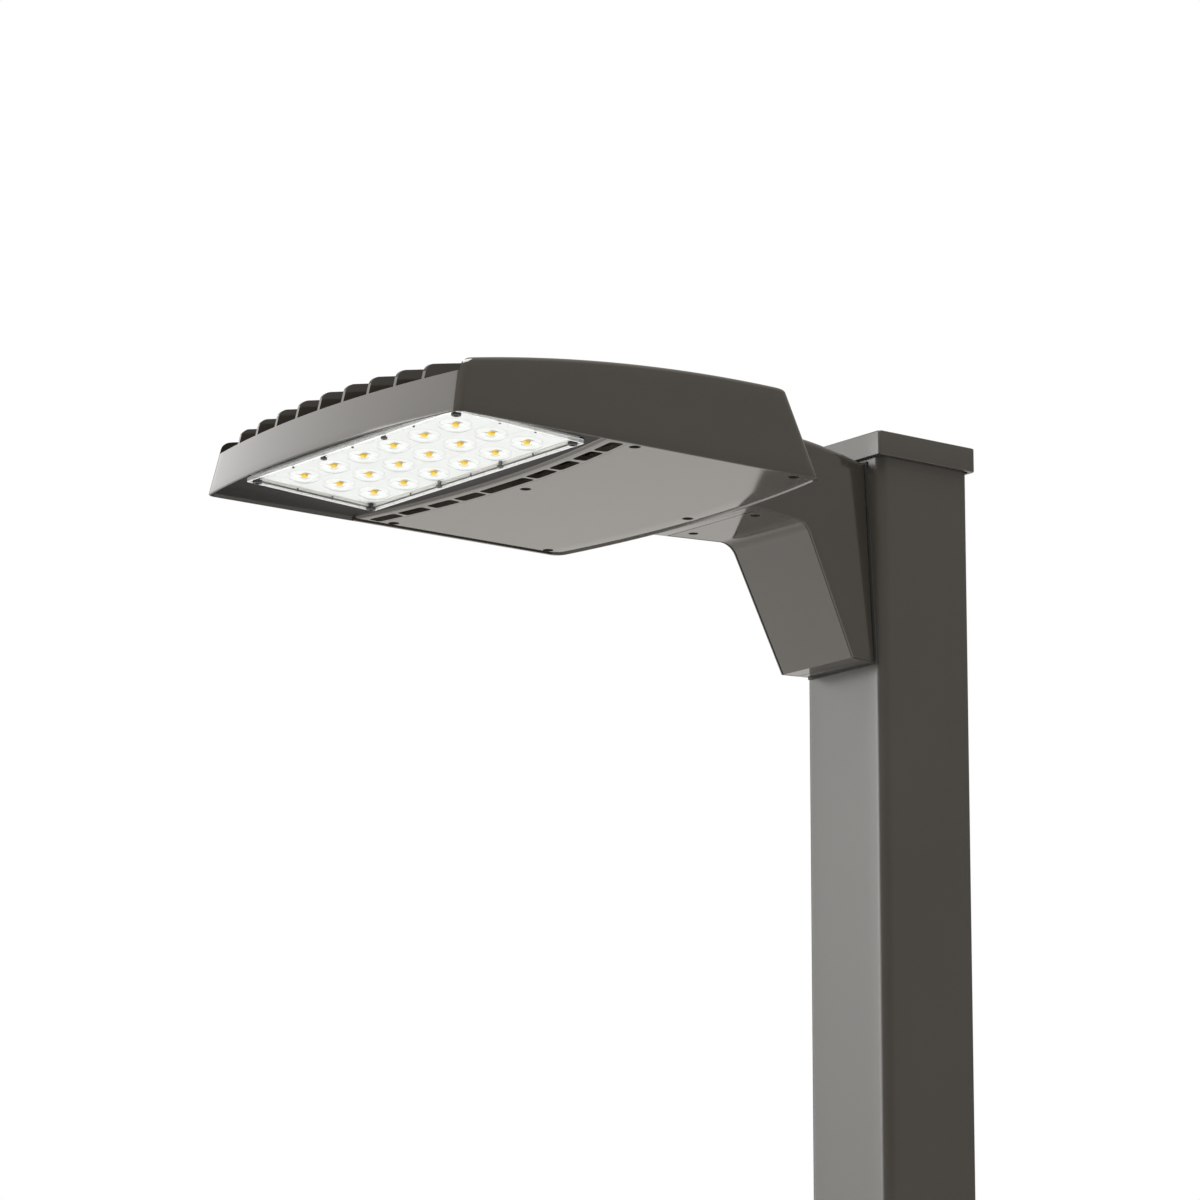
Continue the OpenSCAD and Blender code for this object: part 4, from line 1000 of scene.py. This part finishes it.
# Depths of the optic's two faces. Below, the rim, a cap of a sphere for each dome and a bell curve for its
# ring; above, half an ellipsoid for each hollow
def opticFaces(o, x, y):
    toEdge = np.minimum(lamp["halfX"] - np.abs(x), lamp["halfY"] - np.abs(y - lamp["shift"]))
    rim = o["rim"] * (1 - smooth(toEdge, o["rimW"] - 0.5, o["rimW"]))
    columns, rows = lampGrid()
    away = np.hypot(np.abs(x[..., None] - columns).min(-1), np.abs(y[..., None] - rows).min(-1))
    sphereR = (o["domeR"] ** 2 + o["domeH"] ** 2) / (2 * o["domeH"])
    dome = np.sqrt(np.maximum(sphereR ** 2 - np.minimum(away, o["domeR"]) ** 2, 0)) - (sphereR - o["domeH"])
    ring = o["ring"] * np.exp(-((away - o["domeR"] - o["ringW"] * 0.6) / (o["ringW"] * 0.4)) ** 2)
    hollow = o["hollowH"] * np.sqrt(np.maximum(1 - (away / o["hollowR"]) ** 2, 0))
    return o["under"] - rim - dome + ring, o["top"] - hollow


# The optic as a grid over both faces, with its square corners pulled in to circles
def opticSolid(o):
    step, edge = o["rimW"] - 0.5, o["rimW"] + 0.1

    def spread(half, count):
        level = np.linspace(-half + edge, half - edge, count)
        return np.concatenate([[-half, -half + 0.05, -half + step], level, [half - step, half - 0.05, half]])
    halfX, halfY, r = lamp["halfX"], lamp["halfY"], o["cornerR"]
    x, y = np.meshgrid(spread(halfX, 229), spread(halfY, 109) + lamp["shift"], indexing="ij")
    under, over = opticFaces(o, x, y)
    x = np.concatenate([x, x[:, ::-1]], 1)
    y = np.concatenate([y, y[:, ::-1]], 1)
    z = np.concatenate([under, over[:, ::-1]], 1)
    cx = np.clip(x, r - halfX, halfX - r)
    cy = np.clip(y, r - halfY + lamp["shift"], halfY - r + lamp["shift"])
    away = np.maximum(np.hypot(x - cx, y - cy), 1e-6)
    square = np.maximum(np.abs(x - cx), np.abs(y - cy))
    pull = np.where((x != cx) & (y != cy), square / away, 1)
    return ringSolid(fromLamp(np.stack([cx + (x - cx) * pull, cy + (y - cy) * pull, z], -1)))


addPiece("opticPanel", opticSolid(optic), "fixture", "clear_optic", ["optic_lens"], sharp=40)


# Screws and pins of the optic, in the lamp's plane. face is how far each stands before it
signs = [(sx, sy) for sx in (-1, 1) for sy in (-1, 1)]
cornerScrew = {
    "r": 4, "h": 2.6, "edge": 0.8, "socketR": 2.1, "deep": 1.9, "shankR": 2, "long": 12, "face": -6,
    "places": [(sx * 137.5, lamp["shift"] + sy * 56.5) for sx, sy in signs],
}
clampScrew = {
    "r": 2.7, "h": 1.8, "edge": 0.5, "socketR": 1.2, "deep": 1.1, "shankR": 1.5, "long": 11, "face": -5.2,
    "places": [(sx * 41.7, lamp["shift"] + sy * 56.9) for sx, sy in signs],
}
edgePin = {
    "r": 1, "h": 0.9, "edge": 0.4, "socketR": 0.3, "deep": 0.1, "shankR": 0.7, "long": 3, "face": -4.2,
    "places": [(x, lamp["shift"] + sy * 58.1) for x in (-83.4, 0, 83.4) for sy in (-1, 1)],
}
edgePin["places"] += [(sx * 139.1, sy * 17.33) for sx, sy in signs]  # two more at each end
# The optic's corner screws are black: painted shade of the dark recess that each sits in
for name, s, slotName, node in [("opticCornerScrews", cornerScrew, "black_plastic", "lens_corner_screws"),
                                ("opticClampScrews", clampScrew, "screw_steel", "lens_clamp_screws"),
                                ("opticPins", edgePin, "screw_steel", "lens_edge_pins")]:
    points, faces = screwHeads(s, s["face"])
    addPiece(name, (fromLamp(points), faces), "fixture", slotName, [node])


# Light sources: a square base with a domed drop of phosphor on it, a quarter ellipse turned
source = {"half": 2.5, "cornerR": 0.4, "base": 0.85, "sunk": 0.3, "domeR": 2.9, "domeH": 2.3}


def sourceSolids(s):
    foot = -s["base"] + s["sunk"]
    dome = [(0, foot), (s["domeR"], foot)]
    dome += [(s["domeR"] * np.cos(t), -s["base"] - s["domeH"] * np.sin(t)) for t in np.linspace(0, pi / 2, 9)]
    loop = roundedLoop(s["half"], s["half"], s["cornerR"], 3, 1)
    columns, rows = lampGrid()
    places = [(x, y) for x in columns for y in rows]
    bases = [ringSolid(np.stack([atHeight(loop + p, 0), atHeight(loop + p, -s["base"])])) for p in places]
    points, faces = together(*bases, turned(dome, 28, places))
    return fromLamp(points), faces


addPiece("lightSources", sourceSolids(source), "fixture", "phosphor", ["led_chips"])


# Arm: its side is one profile, which flares towards the head and narrows upwards
arm = {
    "face": -50.8, "back": -52.3, "foot": -79.8, "low": -108, "top": 74.2, "topStart": -139.8, "topR": 560,
    "bendR": 17, "lean": radians(26.1), "under": 0.5, "headEnd": -267.8, "half": 42.4, "flare": 0.195,
    "draft": 0.06, "backR": 2, "edgeR": 1.5, "crownR": 6, "wall": 5, "backWall": 8, "gap": 1.5, "land": 21,
    "landT": 5, "sideMiddle": (-95.0, 22.0),
}
cover = {"t": 3.5, "lip": 2.2, "front": -193, "end": -64.8, "trim": 0.8, "bevel": 0.6}
armBend = {"z": arm["under"] - arm["bendR"]}
armBend["y"] = (arm["bendR"] + (armBend["z"] - arm["low"]) * sin(arm["lean"])) / cos(arm["lean"])
armBend["y"] = arm["foot"] - armBend["y"]


# Half the arm's width: at its low back end, more by the flare and less by the draft
def armWidth(y, z, inset=0):
    return arm["half"] + arm["flare"] * (arm["face"] - y) - arm["draft"] * (z - arm["low"]) - inset


# The arm's upper line: level from the head, then a parabola down to the pole
def armTop(y):
    return arm["top"] - np.maximum(y - arm["topStart"], 0) ** 2 / (2 * arm["topR"])


# Points on the straight line from a to b, without b
def between(a, b, count):
    t = np.arange(count)[:, None] / count
    return np.asarray(a, float) * (1 - t) + np.asarray(b, float) * t


# The arm's lower line, at a depth inside it: from the back of its foot, up the lean and round the bend, which
# is part of a circle, to y = end
def armUnder(low, start, end):
    turns = 12
    footFront = (arm["foot"] + low * (1 - sin(arm["lean"])) / cos(arm["lean"]), arm["low"] + low)
    angles = arm["lean"] + (pi / 2 - arm["lean"]) * np.arange(turns) / turns
    r = arm["bendR"] + low
    bend = np.stack([armBend["y"] + r * np.cos(angles), armBend["z"] + r * np.sin(angles)], -1)
    level = (armBend["y"], arm["under"] + low)
    return np.vstack([between((start, arm["low"] + low), footFront, 6), between(footFront, bend[0], 14), bend,
                      between(level, (end, arm["under"] + low), 14)])


# The whole side profile as a closed loop, moved in by one depth at each of its lower, upper and back lines
def armLoop(low, top, back):
    yBack = arm["back"] - back
    crown = np.linspace(arm["topStart"], yBack, 15)
    highHead = (arm["headEnd"], arm["top"] - top)
    curve = np.stack([crown, armTop(crown) - top], -1)
    return np.vstack([armUnder(low, yBack, arm["headEnd"]),
                      between((arm["headEnd"], arm["under"] + low), highHead, 4),
                      between(highHead, curve[0], 12), curve[:-1],
                      between(curve[-1], (yBack, arm["low"] + low), 14)])


# A loop of y and z carried out to one side of the arm
def asSide(loop, inset, sign):
    return np.stack([sign * armWidth(loop[:, 0], loop[:, 1], inset), loop[:, 0], loop[:, 1]], -1)


# The middle of a side, where its rings close
def sideMiddle(sign, inset=0):
    y, z = arm["sideMiddle"]
    return np.array([sign * armWidth(y, z, inset), y, z])


# The arm before anything is cut from it: rings out from one side's middle, round its edge, across to the
# other side's edge and in to its middle. Along the top and the back the edge has a radius of its own
def armSolid():
    e, b = arm["edgeR"], arm["backR"]
    flat, moved = armLoop(0, 0, 0), armLoop(e, arm["crownR"], b)
    inward = np.full(len(flat), e)
    atTop = np.abs(flat[:, 1] - armTop(flat[:, 0])) < 0.01
    inward[atTop] = arm["crownR"]
    atBack = np.abs(flat[:, 0] - arm["back"]) < 0.01
    inward[atBack] = b
    halves = []
    for sign in (1, -1):
        level, corner, edge = asSide(moved, 0, sign), asSide(flat, 0, sign), asSide(flat, inward, sign)
        nearMiddle = level + (sideMiddle(sign) - level) * np.array([0.5, 0.03])[:, None, None]
        halves.append(np.concatenate([nearMiddle, cornerRows(level, corner, edge, 6)]))
    return ringSolid(np.concatenate([halves[0], halves[1][::-1]]), sideMiddle(1), sideMiddle(-1))


# The head's own outline, grown by the gap, which cuts the arm's front end to fit it
def headBlock(gap, low, high):
    return ringSolid(np.stack([outline(low, -gap), outline(high, -gap)]))


# The hollow above the cover: the profile moved in by the wall, with a land in front for the cover's screws
def armHollow(a, c):
    back = a["back"] - a["backWall"]
    landY, landZ = c["front"] + a["land"], c["t"] + a["landT"]
    gap = a["gap"] + a["backWall"]
    high = a["top"] - a["wall"]
    front = [(tailEnd["y"] - tailEnd["lean"] * z + gap, z) for z in (landZ, high)]
    crown = np.linspace(a["topStart"], back, 12)
    loop = np.vstack([armUnder(c["t"], back, landY), [(landY, a["under"] + c["t"]), (landY, landZ)], front,
                      np.stack([crown, armTop(crown) - a["wall"]], -1)])
    rings = np.stack([asSide(loop, a["wall"], 1), asSide(loop, a["wall"], -1)])
    return ringSolid(rings, sideMiddle(1, a["wall"]), sideMiddle(-1, a["wall"]))


# The cover's band: a strip along the arm's lower line, between two depths, with its corners bevelled
def coverBand(a, c, outer, inner, trim, bevel):
    ends = c["end"] - trim, c["front"] + trim
    depths = (outer, outer + bevel, inner - bevel, inner)
    lines = [np.vstack([armUnder(depth, *ends), [(ends[1], a["under"] + depth)]]) for depth in depths]
    side = c["lip"] + trim
    half = [(0, side + bevel), (1, side), (2, side), (3, side + bevel)]
    loops = [(i, inset, -1) for i, inset in half] + [(i, inset, 1) for i, inset in half[::-1]]
    return ringSolid(np.stack([asSide(lines[i], inset, sign) for i, inset, sign in loops], 1))


# Seal between the arm's back and the pole: the back's outline, grown a little, as a flat sheet. Its black
# edge showing past the arm is also painted shade in the gap between arm and pole
seal = {"grow": 2.2, "short": 6, "clear": 0.05, "count": 12}


def sealSolid(a, s):
    z = np.linspace(a["low"] - s["grow"] / 2, a["top"] - s["short"], s["count"])
    half = armWidth(a["back"], z) + s["grow"]
    x, z = np.concatenate([half, -half[::-1]]), np.concatenate([z, z[::-1]])
    return ringSolid(np.stack([np.stack([x, y + 0 * x, z], -1)
                               for y in (a["back"] + s["clear"], a["face"] - s["clear"])]))


addPiece("poleSeal", sealSolid(arm, seal), "fixture", "black_rubber", ["pole_gasket"])


coverScrew = {
    "places": [(41, -181), (-41, -181)], "r": 3.8, "h": 1, "edge": 0.45, "socketR": 1.6, "deep": 0.7,
    "shankR": 1.9, "long": 7.5, "face": arm["under"], "headAt": 1, "boreR": 4.25, "sink": 2, "holeR": 2.25,
}
addPiece("armCasting", armSolid(), "fixture", "bronze_paint", ["arm_casting"], [
    ("DIFFERENCE", headBlock(arm["gap"], -120, 90)), ("DIFFERENCE", armHollow(arm, cover)),
    ("DIFFERENCE", coverBand(arm, cover, -1, cover["t"], 0, 0.001))])
coverSolid = coverBand(arm, cover, 0, cover["t"], cover["trim"], cover["bevel"])
addPiece("armCover", coverSolid, "cover", "bronze_paint", ["arm_cover"],
         [("DIFFERENCE", screwBores(coverScrew, 5, 36))])
addScrews("coverScrew", "cover", "arm_cover_screws", coverScrew)


# Pole: a square tube with round corners
pole = {"half": 50.8, "wall": 3, "r": 9.5, "low": -600, "high": 87.8}


def poleSolid(p):
    outer = roundedLoop(p["half"], p["half"], p["r"], 13, 5)
    inner = roundedLoop(p["half"] - p["wall"], p["half"] - p["wall"], p["r"] - p["wall"], 13, 5)
    rows = [(outer, p["low"]), (outer, p["high"]), (inner, p["high"]), (inner, p["low"])]
    return frameSolid(np.stack([atHeight(loop, z) for loop, z in rows]))


addPiece("poleTube", poleSolid(pole), "fixture", "pole_paint", ["pole_section"])


# Cap: a square lid with a skirt, its edges just broken. Its rings go from under the roof down the skirt's
# inside, round its foot, up the outside and over the top edge
cap = {"half": 54.5, "r": 3, "skirt": 17, "top": 4, "innerHalf": 51.1, "innerR": 4.75, "edge": 1.1}


def capSolid(c, base):
    low, high, e = base - c["skirt"], base + c["top"], c["edge"]

    def ring(half, r, z):
        return atHeight(roundedLoop(half, half, r, 7, 5), z)
    inner, outer = (c["innerHalf"], c["innerR"]), (c["half"], c["r"])
    below = [ring(*inner, base), ring(*inner, low + e / 2), ring(c["innerHalf"] + e / 2, c["innerR"], low),
             ring(c["half"] - e / 2, c["r"], low), ring(*outer, low + e / 2)]
    edge = cornerRows(ring(*outer, high - e), ring(*outer, high), ring(c["half"] - e, c["r"], high), 4)
    level = ring(c["half"] - e - 1, c["r"], high)
    return ringSolid(np.concatenate([np.stack(below), edge, level[None]]), (0, 0, base), (0, 0, high))


addPiece("poleCap", capSolid(cap, pole["high"]), "cap", "pole_paint", ["pole_cap"])
print("shells made")
